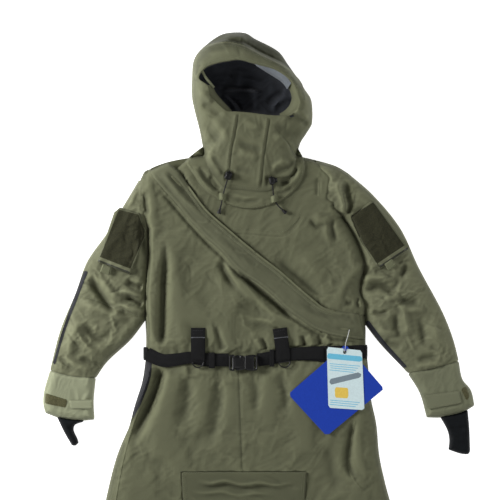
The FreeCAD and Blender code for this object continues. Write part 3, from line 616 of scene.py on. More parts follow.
# one cuff cloth in two tones: the right cuff is painted lighter than the left, as painted light
cuff_cloth = {"right": cloth("suit_laminate_cuff_right_painted_light", srgb(146, 150, 122)),
              "left": cloth("suit_laminate_cuff_left", srgb(118, 121, 96))}
side_cloth = cloth("side_stretch", srgb(34, 35, 39), pitch=1.4, rough=0.9)
lining_cloth = cloth("hood_lining_tricot", srgb(42, 45, 51), pitch=1.6, sheen=0.2, rough=0.9)
mesh_cloth = cloth("brim_backing", srgb(120, 126, 132), pitch=1.8, sheen=0.2, blotch=0.3, depth=0.3)
loop_pile = pile("loop_pile", srgb(45, 45, 23))
cuff_pile = pile("cuff_loop_pile", srgb(86, 84, 55))
black_web = webbing_cloth("belt_webbing", srgb(9, 9, 10))
olive_web = webbing_cloth("keeper_webbing", srgb(104, 107, 82), 90)
black_plastic = moulded("acetal", srgb(10, 10, 11))
neoprene = moulded("neoprene_skin", srgb(10, 14, 17), 0.7, 0.1)
neoprene.node_tree.nodes["Principled BSDF"].inputs["Specular IOR Level"].default_value = 0.2
zip_plastic = moulded("zipper_teeth", srgb(40, 41, 36), 0.35)
tape = cloth("zipper_tape_weave", srgb(72, 74, 57), pitch=0.8)
thread = cloth("thread", srgb(128, 131, 103), pitch=0.4)
sock_cloth = cloth("sock_laminate", srgb(86, 88, 74), pitch=1.1)
edge_web = webbing_cloth("webbing_edge", srgb(92, 94, 98))
black_thread = cloth("black_thread", srgb(60, 60, 64), pitch=0.4)
steel = moulded("spring_steel_wire", srgb(150, 152, 156), 0.3, 0.02)
steel.node_tree.nodes["Principled BSDF"].inputs["Metallic"].default_value = 1.0

# ============================================================ cloth simulation
class Crumple:
    """Wrinkles from a cloth simulation, kept as a grid of heights.

    A sheet that follows a form is held along its edge and along the seams that hold it on the
    real suit. It grows a few per cent, so that it buckles as slack laminate does. Ridges are
    kept and dents made shallower, because the cloth rests on what lies below it.
    """

    def __init__(self, form, surface, step=7.0, growth=0.045, stiff=0.35, frames=22, held=None,
                 up=1.0, down=0.45, cap=9.0, seed=1):
        low, high = form.points.min(0) - step, form.points.max(0) + step
        self.low, self.step = low, step
        xs = np.arange(low[0], high[0] + step, step)
        ys = np.arange(low[1], high[1] + step, step)
        gx, gy = np.meshgrid(xs, ys, indexing="ij")
        inside = form.inside(gx, gy)
        number = -np.ones(gx.shape, int)
        number[inside] = np.arange(inside.sum())
        x, y = gx[inside], gy[inside]
        d = form.distance(x, y)
        start = surface(x, y) + 0.5 * noise(x / 13, y / 13, seed)
        cell = inside[:-1, :-1] & inside[1:, :-1] & inside[:-1, 1:] & inside[1:, 1:]
        i, j = np.nonzero(cell)
        faces = np.column_stack([number[i, j], number[i + 1, j], number[i + 1, j + 1], number[i, j + 1]])
        obj = to_object("crumple_sheet", np.column_stack([x, y, start]), faces.tolist())
        hold = 1 - ease((d - 4) / 10)
        if held is not None:
            hold = np.maximum(hold, held(x, y))
        group = obj.vertex_groups.new(name="held")
        for level in range(1, 11):
            chosen = np.nonzero(np.round(hold * 10).astype(int) == level)[0]
            group.add(chosen.tolist(), level / 10, "REPLACE")
        cloth_modifier = obj.modifiers.new("Cloth", "CLOTH")
        settings = cloth_modifier.settings
        settings.quality = 5
        settings.mass = 0.25
        settings.tension_stiffness = 18
        settings.compression_stiffness = 18
        settings.shear_stiffness = 6
        settings.bending_stiffness = stiff
        settings.shrink_min = -growth
        settings.vertex_group_mass = "held"
        settings.effector_weights.gravity = 0
        cloth_modifier.collision_settings.use_collision = False
        scene = bpy.context.scene
        for frame_number in range(1, frames + 1):
            scene.frame_set(frame_number)
        evaluated = obj.evaluated_get(bpy.context.evaluated_depsgraph_get())
        after = np.empty(len(x) * 3)
        evaluated.data.vertices.foreach_get("co", after)
        moved = after.reshape(-1, 3)[:, 2] / MM - start
        bpy.data.objects.remove(obj)
        scene.frame_set(1)
        moved = np.clip(np.where(moved > 0, up * moved, down * moved), -cap, cap)
        self.grid = np.zeros(gx.shape)
        self.grid[inside] = moved * (1 - np.clip(hold, 0, 1))

    def __call__(self, x, y):
        u = np.clip((x - self.low[0]) / self.step, 0, self.grid.shape[0] - 1.001)
        v = np.clip((y - self.low[1]) / self.step, 0, self.grid.shape[1] - 1.001)
        i, j = np.floor(u).astype(int), np.floor(v).astype(int)
        fu, fv = u - i, v - j
        fu, fv = fu * fu * (3 - 2 * fu), fv * fv * (3 - 2 * fv)
        g = self.grid
        return ((g[i, j] * (1 - fu) + g[i + 1, j] * fu) * (1 - fv)
                + (g[i, j + 1] * (1 - fu) + g[i + 1, j + 1] * fu) * fv)


# ============================================================ body
SHOULDER_RIGHT = [(-112, 478), (-146, 473), (-197, 463), (-240, 446), (-262, 426)]
SIDE_RIGHT = [(-262, 426), (-263, 400), (-260, 350), (-247, 301), (-246, 240), (-252, 160), (-252, 100),
              (-249, 50), (-250, -8)]
HIP_RIGHT = [(-250, -8), (-258, -62), (-276, -120), (-291, -175), (-320, -245), (-354, -385),
             (-378, -500), (-390, -650), (-382, -820), (-362, -1000), (-350, -1110)]
INSEAM_RIGHT = [(-216, -1118), (-204, -1000), (-170, -800), (-112, -620), (-48, -480), (-4, -420)]
INSEAM_LEFT = [(-4, -420), (40, -480), (104, -620), (162, -800), (196, -1000), (208, -1118)]
HIP_LEFT = [(342, -1110), (354, -1000), (374, -820), (382, -650), (370, -500), (345, -385), (322, -298),
            (310, -240), (303, -166), (290, -103), (284, -36), (277, 30)]
SIDE_LEFT = [(277, 30), (277, 67), (273, 90), (279, 119), (266, 156), (275, 205), (276, 226),
             (258, 276), (238, 313), (223, 333)]
ARMHOLE_LEFT = [(223, 333), (206, 346), (206, 360), (184, 375), (188, 398), (192, 425), (173, 447),
                (151, 467)]
NECK = [[(112, 478), (0, 470)], [(0, 470), (-112, 478)]]
ANKLE_RIGHT, ANKLE_LEFT = [(-350, -1110), (-216, -1118)], [(208, -1118), (342, -1110)]

# The rounded form runs on under the hood and into the sleeves, so no edge rounds off there.
BODY_FORM = Outline(
    SHOULDER_RIGHT,
    [(-262, 426), (-282, 402), (-284, 368), (-266, 330), (-247, 301)],
    [(-247, 301)] + SIDE_RIGHT[4:], HIP_RIGHT, ANKLE_RIGHT, INSEAM_RIGHT, INSEAM_LEFT, ANKLE_LEFT,
    HIP_LEFT, SIDE_LEFT, [(223, 333), (250, 350), (262, 380), (238, 434)],
    [(238, 434), (206, 453), (151, 469), (112, 478)],
    [(112, 478), (112, 560)], [(112, 560), (-112, 560)], [(-112, 560), (-112, 478)])

FINE = 2.4  # the grid step of the cloths on the front, in millimetres
BODY_FLOOR, BODY_TALL, BODY_ROUND = 5.0, 29.0, 36.0
BODY_CEILING, CEILING_GIVE = 34, 5.2
FOLD_GAIN, SLEEVE_FOLD_GAIN = 1.25, 1.15
BODY_CRUMPLE_SHARE, SLEEVE_CRUMPLE_SHARE = 0.55, 0.5
# the storm flap's hinge line: a point on it, and the unit vectors along and across it
HINGE_AT, ALONG, ACROSS = (-110, 355), (0.756, -0.654), (0.654, 0.756)
BODY_FOLDS = [
    # right side of the chest: the long vertical fold under the arm and its bright rims
    Fold(-14, 12, 10, (-200, 290), (-204, 220), (-208, 150), (-209, 90), (-214, 20), fade=0.35,
         fade_end=0.12),
    Fold(7, 14, 12, (-226, 350), (-240, 260), (-241, 180), (-246, 120), (-238, 60), (-226, 10), fade=0.15),
    Fold(6, 16, 22, (-196, 300), (-186, 235), (-176, 170), (-160, 90), (-150, 20)),
    Fold(5, 9, 9, (-244, 420), (-234, 380), (-232, 350), (-244, 310), fade=0.2),
    Fold(-7, 7, 8, (-256, 392), (-248, 356), (-243, 330)),
    Fold(-4, 40, 46, (-150, 330), (-120, 230), (-96, 150), (-84, 80)),
    Fold(5, 20, 22, (-150, 170), (-128, 110), (-108, 55), (-92, 15), fade=0.35, fade_end=0.15),
    Fold(-6, 8, 10, (-92, 90), (-76, 52), (-60, 12), fade=0.4, fade_end=0.1),
    Fold(4, 12, 18, (-70, 70), (-52, 40), (-36, 12), fade=0.4, fade_end=0.1),
    # folds that run out from under the flap
    Fold(-9, 8, 10, (-74, 232), (-50, 184), (-22, 152), fade=0.25, fade_end=0.5),
    Fold(6, 8, 8, (-60, 226), (-36, 184), (-6, 150), (16, 120), fade=0.2, fade_end=0.4),
    Fold(-11, 7, 8, (-30, 206), (8, 168), (44, 138), (82, 108), (110, 86), fade=0.25, fade_end=0.2),
    Fold(7, 6, 8, (-30, 192), (-2, 158), (34, 118), (66, 92), (112, 76), fade=0.25, fade_end=0.2, power=1.6),
    Fold(5, 7, 10, (-24, 92), (36, 84), (84, 74), (124, 68), fade=0.4, fade_end=0.2, power=1.5),
    Fold(-5, 10, 12, (-10, 76), (44, 66), (100, 54), fade=0.4),
    Fold(-6, 26, 30, (-20, 140), (10, 100), (60, 60), fade=0.4),
    # puckers above the belt on the left
    Fold(5, 6, 6, (12, 42), (20, 30), (28, 14), fade_end=0.1),
    Fold(-5, 5, 5, (26, 44), (34, 30), (38, 14), fade_end=0.1),
    Fold(6, 6, 6, (104, 52), (112, 38), (116, 22), fade_end=0.1),
    Fold(-5, 5, 5, (122, 50), (128, 36), (130, 22), fade_end=0.1),
    Fold(6, 6, 7, (136, 50), (146, 38), (150, 22), fade_end=0.1),
    Fold(-5, 6, 5, (158, 48), (166, 36), (168, 24), fade_end=0.1),
    Fold(5, 7, 7, (176, 48), (186, 38), (192, 26), fade_end=0.1),
    # left chest
    Fold(-10, 22, 10, (54, 236), (84, 212), (119, 184), (150, 157), (180, 136), power=1.6),
    Fold(5, 30, 14, (120, 250), (150, 210), (176, 170), fade=0.4),
    Fold(-4, 50, 40, (130, 300), (170, 240), (190, 180), fade=0.4),
    Fold(5, 7, 9, (274, 224), (240, 190), (222, 158), (212, 128), (208, 106), fade=0.15, power=1.5),
    Fold(-6, 5, 7, (140, 328), (160, 308), (186, 314), fade=0.35, power=1.5),
    Fold(5, 9, 8, (150, 338), (172, 324), (196, 326), fade=0.35),
    Fold(-5, 6, 10, (196, 330), (198, 300), (208, 268)),
    Fold(4, 8, 9, (184, 320), (184, 290), (192, 262), fade=0.4),
    Fold(-3, 5, 6, (164, 430), (162, 402), (160, 378)),
    Fold(-6, 5, 6, (196, 366), (204, 356), (200, 346)),
    Fold(-4, 5, 6, (224, 128), (236, 124), (248, 127)),
    Fold(-4, 4, 6, (262, 142), (256, 126), (262, 108)),
    Fold(5, 5, 6, (270, 150), (266, 128), (272, 112)),
    Fold(-7, 9, 8, (250, 60), (262, 46), (276, 40)),
    Fold(-5, 8, 6, (214, 100), (230, 88), (246, 92)),
    Fold(5, 10, 8, (196, 80), (222, 66), (250, 66), fade=0.4),
    # shoulders
    Fold(4, 12, 10, (-206, 452), (-190, 420), (-166, 384)),
    Fold(-4, 10, 9, (-176, 452), (-150, 404), (-128, 374)),
    # below the belt
    Fold(-20, 12, 15, (-214, -26), (-222, -70), (-240, -120), (-262, -168), (-290, -230), fade=0.12,
         fade_end=0.4),
    Fold(8, 10, 12, (-232, -16), (-246, -56), (-262, -100), (-276, -150), fade=0.12, fade_end=0.3),
    Fold(6, 22, 26, (-186, -30), (-190, -90), (-206, -170), (-226, -260), fade=0.15),
    Fold(-6, 16, 18, (-156, -40), (-150, -100), (-160, -180)),
    Fold(5, 18, 20, (-120, -50), (-112, -120), (-116, -200)),
    Fold(-5, 14, 16, (-80, -34), (-74, -90), (-84, -160), (-100, -230)),
    Fold(4, 14, 16, (-56, -40), (-50, -110), (-56, -190)),
    Fold(-5, 10, 14, (4, -40), (14, -90), (10, -150), fade=0.35),
    Fold(5, 14, 14, (36, -36), (44, -100), (42, -180)),
    Fold(-5, 12, 12, (72, -34), (82, -80), (92, -150), fade=0.35),
    Fold(6, 14, 16, (110, -30), (116, -90), (130, -180), (140, -250), fade=0.25),
    Fold(-5, 14, 14, (180, -210), (196, -260), (206, -330)),
    Fold(-9, 8, 10, (250, -150), (240, -200), (236, -262), (256, -305), fade=0.25),
    Fold(6, 8, 10, (262, -130), (258, -190), (262, -250), (280, -300), fade=0.25),
    # legs, below the hips
    Fold(-8, 14, 14, (-330, -420), (-250, -450), (-170, -440)),
    Fold(7, 14, 14, (-300, -470), (-220, -490), (-120, -470)),
    Fold(-8, 14, 14, (320, -430), (240, -460), (160, -440)),
    Fold(7, 14, 14, (300, -480), (210, -500), (110, -470)),
    Fold(6, 16, 16, (-310, -540), (-300, -640), (-310, -760)),
    Fold(6, 16, 16, (300, -540), (290, -640), (300, -760)),
    Fold(-7, 9, 12, (-372, -660), (-310, -690), (-230, -670)),
    Fold(-7, 9, 12, (364, -700), (300, -720), (220, -690)),
    Fold(-6, 9, 12, (-350, -920), (-280, -950), (-210, -930)),
    Fold(-6, 9, 12, (344, -900), (270, -940), (200, -920)),
    Fold(5, 8, 9, (-340, -1000), (-280, -1016), (-220, -1000)),
    Fold(5, 8, 9, (334, -990), (270, -1010), (206, -1000)),
]

FLAP_SHADE = [(277, 30), (232, 34), (189, 42), (151, 57), (116, 80), (81, 105), (56, 131), (19, 162),
              (-29, 194), (-73, 241), (-102, 268), (-141, 309), (-183, 358), (-220, 400)]
YOKE = [(-43, 296), (10, 294), (55, 290), (82, 290), (109, 313), (124, 337)]
BODY_FOLDS += [
    # the cloth dips along the flap's free edge, and along the yoke's seam
    Fold(-4, 5, 4, *FLAP_SHADE, fade=0.06, power=1.6),
    Fold(-1.6, 3.0, 2.2, *shifted(YOKE, 0, -3), fade=0.06),
]
BODY_CREASES = strewn(
    (101, 12, [(-238, 40), (-60, 40), (-60, 200), (-238, 300)], 118, 26, (30, 90), (2.2, 3.4), (0.8, 1.8)),
    (102, 20, [(-60, 24), (170, 24), (120, 90), (-40, 190)], 138, 20, (26, 80), (2.2, 3.4), (1.0, 2.2)),
    (103, 30, [(-236, 14), (250, 18), (250, 52), (-236, 52)], 90, 22, (16, 44), (2.2, 3.0), (0.8, 1.7)),
    (104, 40, [(-228, -34), (256, -34), (256, -80), (-228, -80)], 92, 20, (20, 60), (2.2, 3.2), (0.9, 2.0)),
    (105, 22, [(-250, -80), (280, -80), (300, -270), (-290, -270)], 80, 38, (30, 110), (2.2, 3.6),
     (0.8, 1.8)),
    (106, 18, [(140, 120), (262, 120), (262, 230), (160, 200)], 150, 30, (18, 60), (2.2, 3.2), (0.8, 1.8)),
    (107, 4, [(-90, 300), (150, 330), (150, 430), (-100, 430)], 20, 40, (30, 90), (2.4, 3.6), (0.4, 0.9)),
    (108, 60, [(-370, -400), (360, -400), (360, -1080), (-370, -1080)], 15, 40, (40, 140), (3.4, 5.0),
     (1.0, 2.4)))


def from_belt(x, y):
    """How far above the belt's middle line a point lies; the line climbs a little to the left."""
    return y + 10 - 16 * ease((x - 20) / 120)


def belt_squeeze(x, y):
    """The belt pulls the suit in and gathers it into small puckers above and below."""
    gap = from_belt(x, y)
    near = np.exp(-(gap / 26) ** 2)
    pucker = noise(x / 17, gap / 60, 11) * np.exp(-(np.abs(gap) / 42) ** 1.6)
    return -4.5 * near + 2.6 * pucker


def body_form(x, y):
    """The torso and legs without their folds."""
    return BODY_FLOOR + BODY_TALL * dome(BODY_FORM.distance(x, y) / BODY_ROUND)


def smooth_body(x, y):
    """The torso and legs with their large folds and gathers, before the fine crumpling."""
    d = BODY_FORM.distance(x, y)
    z = BODY_FLOOR + BODY_TALL * dome(d / BODY_ROUND)
    z += ease(d / 14) * add_folds(np.zeros_like(z), x, y, BODY_FOLDS) * FOLD_GAIN
    return z + ease(d / 30) * belt_squeeze(x, y)


def pressed(x, y, z, box, limit, slope=0.3):
    """Keeps the cloth under a piece that lies on it; box is left, right, low and high."""
    left, right, low, high = box
    beside = np.maximum(0, np.maximum(left - x, x - right))
    beyond = np.maximum(0, np.maximum(low - y, y - high))
    away = np.hypot(beside, beyond)
    return np.minimum(z, limit + slope * away)


def chest(across, along):
    """A point of the chest: millimetres from the flap's hinge line, and along it."""
    return (HINGE_AT[0] + across * ACROSS[0] + along * ALONG[0],
            HINGE_AT[1] + across * ACROSS[1] + along * ALONG[1])


def chest_place(x, y):
    """The two distances that chest takes, for a point of the chest."""
    dx, dy = x - HINGE_AT[0], y - HINGE_AT[1]
    return dx * ACROSS[0] + dy * ACROSS[1], dx * ALONG[0] + dy * ALONG[1]


def across_flap(points, by):
    """Points moved across the flap, away from its free edge where the value is above 0."""
    return [(x + by * ACROSS[0], y + by * ACROSS[1]) for x, y in points]


def body_held(x, y):
    """Where the belt, the waist seams and the flap's seam hold the cloth."""
    belt_line = np.exp(-(from_belt(x, y) / 12) ** 2)
    across, along = chest_place(x, y)
    sewn = 0.6 * np.exp(-((across + 26) / 22) ** 2) * ease((along + 60) / 40) * ease((430 - along) / 40)
    neck = ease((y - 455) / 25)
    yoke = 0.85 * ease((y - 262) / 40) * ease((x + 130) / 50) * ease((190 - x) / 50)
    return np.maximum.reduce([belt_line, sewn, neck, yoke])


body_crumple = Crumple(BODY_FORM, smooth_body, step=7.0, growth=0.035, held=body_held, seed=5)
LYING_ON_BODY = [((-142, -106, -16, 68), 33.6), ((60, 104, -16, 70), 33.6), ((183, 273, -134, 24), 38.6),
                 ((-60, 24, -40, 8), 33.6)]


def body_surface(x, y):
    """The finished surface of the torso and the legs."""
    d = BODY_FORM.distance(x, y)
    fade = ease(d / 30)
    z = smooth_body(x, y) + BODY_CRUMPLE_SHARE * body_crumple(x, y)
    z += fade * add_folds(np.zeros_like(z), x, y, BODY_CREASES)
    z += fade * 0.8 * creases(x, y, 120, 34, 72, 3)
    z += fade * 0.7 * creases(x, y, 60, 18, 40, 5)
    legs = ease((-y - 380) / 80)
    z += fade * legs * 3.0 * creases(x, y, 110, 40, 20, 9)
    for box, limit in LYING_ON_BODY:
        z = pressed(x, y, z, box, limit)
    over = CEILING_GIVE * np.tanh((z - BODY_CEILING) / CEILING_GIVE)
    z = np.where(z > BODY_CEILING, BODY_CEILING + over, z)
    return np.maximum(z, BODY_FLOOR + 1)


class Panel:
    """A front panel: a surface with a shallow groove along the panel's own seams."""

    def __init__(self, outline, surface=body_surface, groove=1.6, reach=2.6, lift=0.0):
        self.outline, self.groove, self.reach = outline, groove, reach
        self.surface, self.lift = surface, lift

    def top(self, x, y):
        d = self.outline.distance(x, y)
        return self.surface(x, y) + self.lift - self.groove * np.exp(-(d / self.reach) ** 2)


def lapped_seam(surface, *line, width=7.0, rise=1.0):
    """A lapped seam: a strip with one raised edge, on its left, that fades out on its right."""
    p = smooth_run(line, 3.0)
    normal = sideways(p)
    offsets = np.array([0.5, 0.46, 0.3, 0.0, -0.5]) * width
    heights = np.array([-1.0, 1.0, 0.9, 0.45, -0.4]) * rise
    taper = ease(np.minimum(np.arange(len(p)), np.arange(len(p))[::-1]) / 4.0)
    xy = p[:, None, :] + normal[:, None, :] * offsets[None, :, None]
    z = surface(xy[..., 0], xy[..., 1]) + heights[None, :] * taper[:, None] - 0.4 * (1 - taper[:, None])
    rows, cols = xy.shape[:2]
    vertices = np.dstack([xy, z]).reshape(-1, 3)
    faces = []
    for i in range(rows - 1):
        for j in range(cols - 1):
            a, b = i * cols + j, (i + 1) * cols + j
            faces.append((a, a + 1, b + 1, b))
    under = np.dstack([xy[:, [0, -1]], z[:, [0, -1]] - 0.8]).reshape(-1, 3)
    base = len(vertices)
    vertices = np.vstack([vertices, under])
    for i in range(rows - 1):
        a, b = base + 2 * i, base + 2 * (i + 1)
        faces.append((a, b, b + 1, a + 1))
        faces.append((i * cols, (i + 1) * cols, b, a))
        faces.append((i * cols + cols - 1, a + 1, b + 1, (i + 1) * cols + cols - 1))
    faces.append((0, base, base + 1, cols - 1, 3, 2, 1))
    last = (rows - 1) * cols
    end = base + 2 * (rows - 1)
    faces.append((last, last + 1, last + 2, last + 3, last + cols - 1, end + 1, end))
    return to_object("seam", vertices, faces, suit, sharp=60)


STITCH_LONG, STITCH_PITCH, STITCH_WIDE, STITCH_LIFT = 2.9, 4.2, 0.7, 0.5


def stitches(surface, *line, material=None):
    """A row of single stitches along a line over a surface."""
    p = smooth_run(line, 1.0)
    run = np.concatenate([[0], np.cumsum(np.linalg.norm(np.diff(p, axis=0), axis=1))])
    starts = np.arange(STITCH_PITCH / 2, run[-1] - STITCH_LONG, STITCH_PITCH)
    place_at = lambda s: np.column_stack([np.interp(s, run, p[:, 0]), np.interp(s, run, p[:, 1])])
    a, b = place_at(starts), place_at(starts + STITCH_LONG)
    way = (b - a) / np.linalg.norm(b - a, axis=1)[:, None]
    side = np.column_stack([-way[:, 1], way[:, 0]]) * STITCH_WIDE / 2
    middle = (a + b) / 2
    z_a, z_b, z_m = (surface(q[:, 0], q[:, 1]) + STITCH_LIFT for q in (a, b, middle))
    rings = []
    for centre, z, grow, drop in ((a, z_a, 0.3, 0.45), (middle, z_m, 1.0, 0.0), (b, z_b, 0.3, 0.45)):
        rings.append(np.column_stack([centre + side * grow, z - drop]))
        rings.append(np.column_stack([centre, z - drop + 0.35]))
        rings.append(np.column_stack([centre - side * grow, z - drop]))
    count = len(starts)
    vertices = np.vstack(rings)
    faces = []
    for i in range(count):
        at = [i + count * k for k in range(9)]
        for k in (0, 3):
            faces.append((at[k], at[k + 3], at[k + 4], at[k + 1]))
            faces.append((at[k + 1], at[k + 4], at[k + 5], at[k + 2]))
            faces.append((at[k + 2], at[k + 5], at[k + 3], at[k]))
        faces.append((at[0], at[1], at[2]))
        faces.append((at[8], at[7], at[6]))
    return to_object("stitches", vertices, faces, material or thread, sharp=None)


def stitched_border(surface, corners):
    """A row of stitches along each side of a polygon."""
    return [stitches(surface, a, b) for a, b in closed(*corners)]


TRENCH_HIGH, TRENCH_LOW, TRENCH_END = -4.4, -44.4, 410

front_right = Outline(
    [(-262, 422), (-252, 440), (-240, 446)],
    [(-240, 446), (-209, 406), (-193, 381), (-177, 362), (-144, 326), (-113, 299), chest(TRENCH_LOW, 60)],
    [chest(TRENCH_LOW, 60), chest(TRENCH_LOW, TRENCH_END)],
    [chest(TRENCH_LOW, TRENCH_END), chest(TRENCH_HIGH, TRENCH_END)],
    [chest(TRENCH_HIGH, TRENCH_END), (275, 96)],
    [(275, 96), (277, 67), (277, 30), (278, -8)],
    [(278, -8), (-250, -8)],
    [(-250, -8), (-249, 50), (-252, 100), (-252, 160), (-246, 240), (-247, 301), (-260, 350), (-262, 422)])
chest_left = Outline(
    [chest(TRENCH_HIGH, -112), (-146, 473)], [(-146, 473), (-112, 478)],
    [(-112, 478), (0, 470)], [(0, 470), (112, 478)], [(112, 478), (130, 473), (151, 467)],
    list(reversed(ARMHOLE_LEFT)), list(reversed(SIDE_LEFT[2:])) + [(275, 96)],
    [(275, 96), chest(TRENCH_HIGH, TRENCH_END)],
    [chest(TRENCH_HIGH, TRENCH_END), chest(TRENCH_HIGH, -112)])
placket = Outline(*closed(chest(TRENCH_LOW - 2, -105), chest(TRENCH_LOW - 2, TRENCH_END + 2),
                          chest(TRENCH_HIGH + 2, TRENCH_END + 2), chest(TRENCH_HIGH + 2, -105)))
back_outline = Outline(SHOULDER_RIGHT, SIDE_RIGHT, HIP_RIGHT[:6], [(-354, -385), (-4, -420)],
                       [(-4, -420), (345, -385)], HIP_LEFT[5:], SIDE_LEFT,
                       [(223, 333), (250, 350), (262, 380), (238, 434)],
                       [(238, 434), (206, 453), (151, 469), (112, 478)], *NECK)


def torso():
    """The back, both front panels and the placket below the main zipper."""
    place(slab("back_cloth", back_outline, BODY_FLOOR + 0.5, 0.2, suit, step=8), "root", "back_panel",
          slot="suit_fabric")
    place(slab("front_right_cloth", front_right, Panel(front_right).top, BODY_FLOOR - 1, suit, step=FINE),
          "root", "front_panel_right", slot="suit_fabric")
    cloth_left = slab("chest_left_cloth", chest_left, Panel(chest_left).top, BODY_FLOOR - 1, suit, step=FINE)
    shoulder = [(164, 431), (162, 400), (162, 376)]
    join("chest_left_cloth", cloth_left, lapped_seam(body_surface, *reversed(YOKE), width=8, rise=0.9),
         stitches(body_surface, *shifted(YOKE, 0, 7)), lapped_seam(body_surface, *shoulder))
    place(cloth_left, "root", "chest_panel_left", slot="suit_fabric")
    place(slab("placket_cloth", placket, 22, BODY_FLOOR, suit_dark, step=4), "root", "zipper_placket",
          slot="suit_fabric")


# ============================================================ storm flap
FLAP_SEWN = [(-170, 440), (-133, 388), (-104, 350), (-76, 324), (-48, 300), (-15, 272), (24, 240),
             (70, 205), (116, 165), (150, 136), (184, 112), (262, 100)]
FLAP_FREE = [(277, 38), (232, 42), (190, 50), (153, 64), (120, 86), (86, 111), (61, 137), (24, 168),
             (-24, 200), (-68, 247), (-97, 274), (-136, 315), (-178, 364), (-215, 406), (-243, 440)]
flap_outline = Outline(FLAP_SEWN, [(262, 100), (277, 38)], FLAP_FREE, [(-243, 440), (-197, 461)],
                       [(-197, 461), (-170, 440)])
FLAP_FOLDS = [
    Fold(4.5, 9, 7, (-214, 438), (-190, 411), (-163, 379), (-133, 350), (-106, 320), fade=0.2, fade_end=0.4),
    Fold(-3.5, 6, 7, (-200, 442), (-174, 414), (-148, 382), (-120, 350), fade=0.2, fade_end=0.4),
    Fold(2.5, 10, 12, (-110, 300), (-60, 262), (-10, 222), (40, 186)),
    Fold(-2.5, 8, 9, (-90, 300), (-40, 262), (10, 226), (60, 192), (110, 150)),
    Fold(1.8, 3, 4, (-128, 322), (-112, 318), (-96, 320), power=1.5),
    Fold(1.6, 3, 4, (-84, 302), (-74, 294), (-62, 290), power=1.5),
    Fold(1.6, 3, 4, (-38, 254), (-20, 246), (0, 242), power=1.5),
    Fold(2.5, 9, 9, (96, 128), (130, 104), (170, 84), (214, 76)),
    Fold(-3, 7, 7, (120, 132), (160, 104), (200, 92), (240, 90)),
    Fold(-2.5, 6, 6, (200, 66), (230, 62), (262, 60)),
]

FLAP_CREASES = strewn(
    (121, 26, [(-160, 360), (240, 70), (250, 90), (-120, 370)], 139, 14, (30, 90), (2.2, 3.4), (0.6, 1.3)),
    (122, 14, [(-150, 330), (200, 70), (220, 100), (-120, 360)], 60, 25, (14, 34), (2.2, 3.0), (0.6, 1.2)))
# the seam's two stitched channels, and the hem's
for across, depth in ((-6.5, -1.5), (-14.5, -1.2)):
    FLAP_FOLDS.append(Fold(depth, 2.0, 2.2, *across_flap(FLAP_SEWN[:-1], across), fade=0.04))
FLAP_FOLDS.append(Fold(-1.0, 2.2, 2.2, *across_flap(FLAP_FREE, 9), fade=0.05))


def flap_surface(x, y):
    """The storm flap's surface: the body's, raised and evened out, with the flap's own folds."""
    under = body_form(x, y) + 0.3 * (body_surface(x, y) - body_form(x, y))
    z = add_folds(under + 5.0, x, y, FLAP_FOLDS + FLAP_CREASES)
    return z + 0.5 * creases(x, y, 70, 16, -41, 21)


FLAP_MIDDLE = 164
SEWN_RUN = smooth_run(FLAP_SEWN, 2.0)


def beside_seam(across, along):
    """A point beside the flap's sewn edge: the edge's own curve, moved across the flap."""
    runs = chest_place(SEWN_RUN[:, 0], SEWN_RUN[:, 1])[1]
    x, y = np.interp(along, runs, SEWN_RUN[:, 0]), np.interp(along, runs, SEWN_RUN[:, 1])
    return (x + across * ACROSS[0], y + across * ACROSS[1])


def seam_rows(surface, start, end):
    """The lapped seam beside the sewn edge and its two rows of stitches, from start to end."""
    inner, outer, seam = ([beside_seam(across, along) for along in np.linspace(start, end, 9)]
                          for across in (-9, -13, -3))
    return [stitches(surface, *inner), stitches(surface, *outer),
            lapped_seam(surface, *seam, width=5, rise=0.8)]


def storm_flap():
    """One cloth in two halves, split near the flap's middle, each with the seam and stitches beside its sewn
    edge.
    """
    top = lambda x, y: flap_surface(x, y) - 2.0 * np.exp(-(flap_outline.distance(x, y) / 2.4) ** 2)
    whole = slab("flap_whole", flap_outline, top, lifted(flap_surface, -2.2), suit_light, step=FINE)
    mesh = whole.data
    along = np.array([chest_place(v.co.x / MM, v.co.y / MM)[1] for v in mesh.vertices])
    normals = [v.normal.copy() for v in mesh.vertices]
    coordinates = [v.co.copy() for v in mesh.vertices]
    halves = {"storm_flap_upper": [], "storm_flap_lower": []}
    for polygon in mesh.polygons:
        mean = np.mean([along[v] for v in polygon.vertices])
        half = "storm_flap_upper" if mean < FLAP_MIDDLE else "storm_flap_lower"
        halves[half].append(tuple(polygon.vertices))
    made = {}
    for name, faces in halves.items():
        used = sorted({v for face in faces for v in face})
        number = {v: i for i, v in enumerate(used)}
        part = bpy.data.meshes.new(name)
        part.from_pydata([coordinates[v] for v in used], [], [[number[v] for v in face] for face in faces])
        part.shade_smooth()
        part.normals_split_custom_set_from_vertices([normals[v] for v in used])
        part.materials.append(suit_light)
        obj = bpy.data.objects.new(name, part)
        bpy.context.scene.collection.objects.link(obj)
        made[name] = obj
    bpy.data.objects.remove(whole)
    sewn = lifted(flap_surface, -0.2)
    upper, lower = made["storm_flap_upper"], made["storm_flap_lower"]
    join("storm_flap_upper", upper, *seam_rows(sewn, -60, FLAP_MIDDLE - 1))
    join("storm_flap_lower", lower, *seam_rows(sewn, FLAP_MIDDLE + 1, 400))
    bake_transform(upper)
    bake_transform(lower)
    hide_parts("storm_flap", "storm_flap_ends")


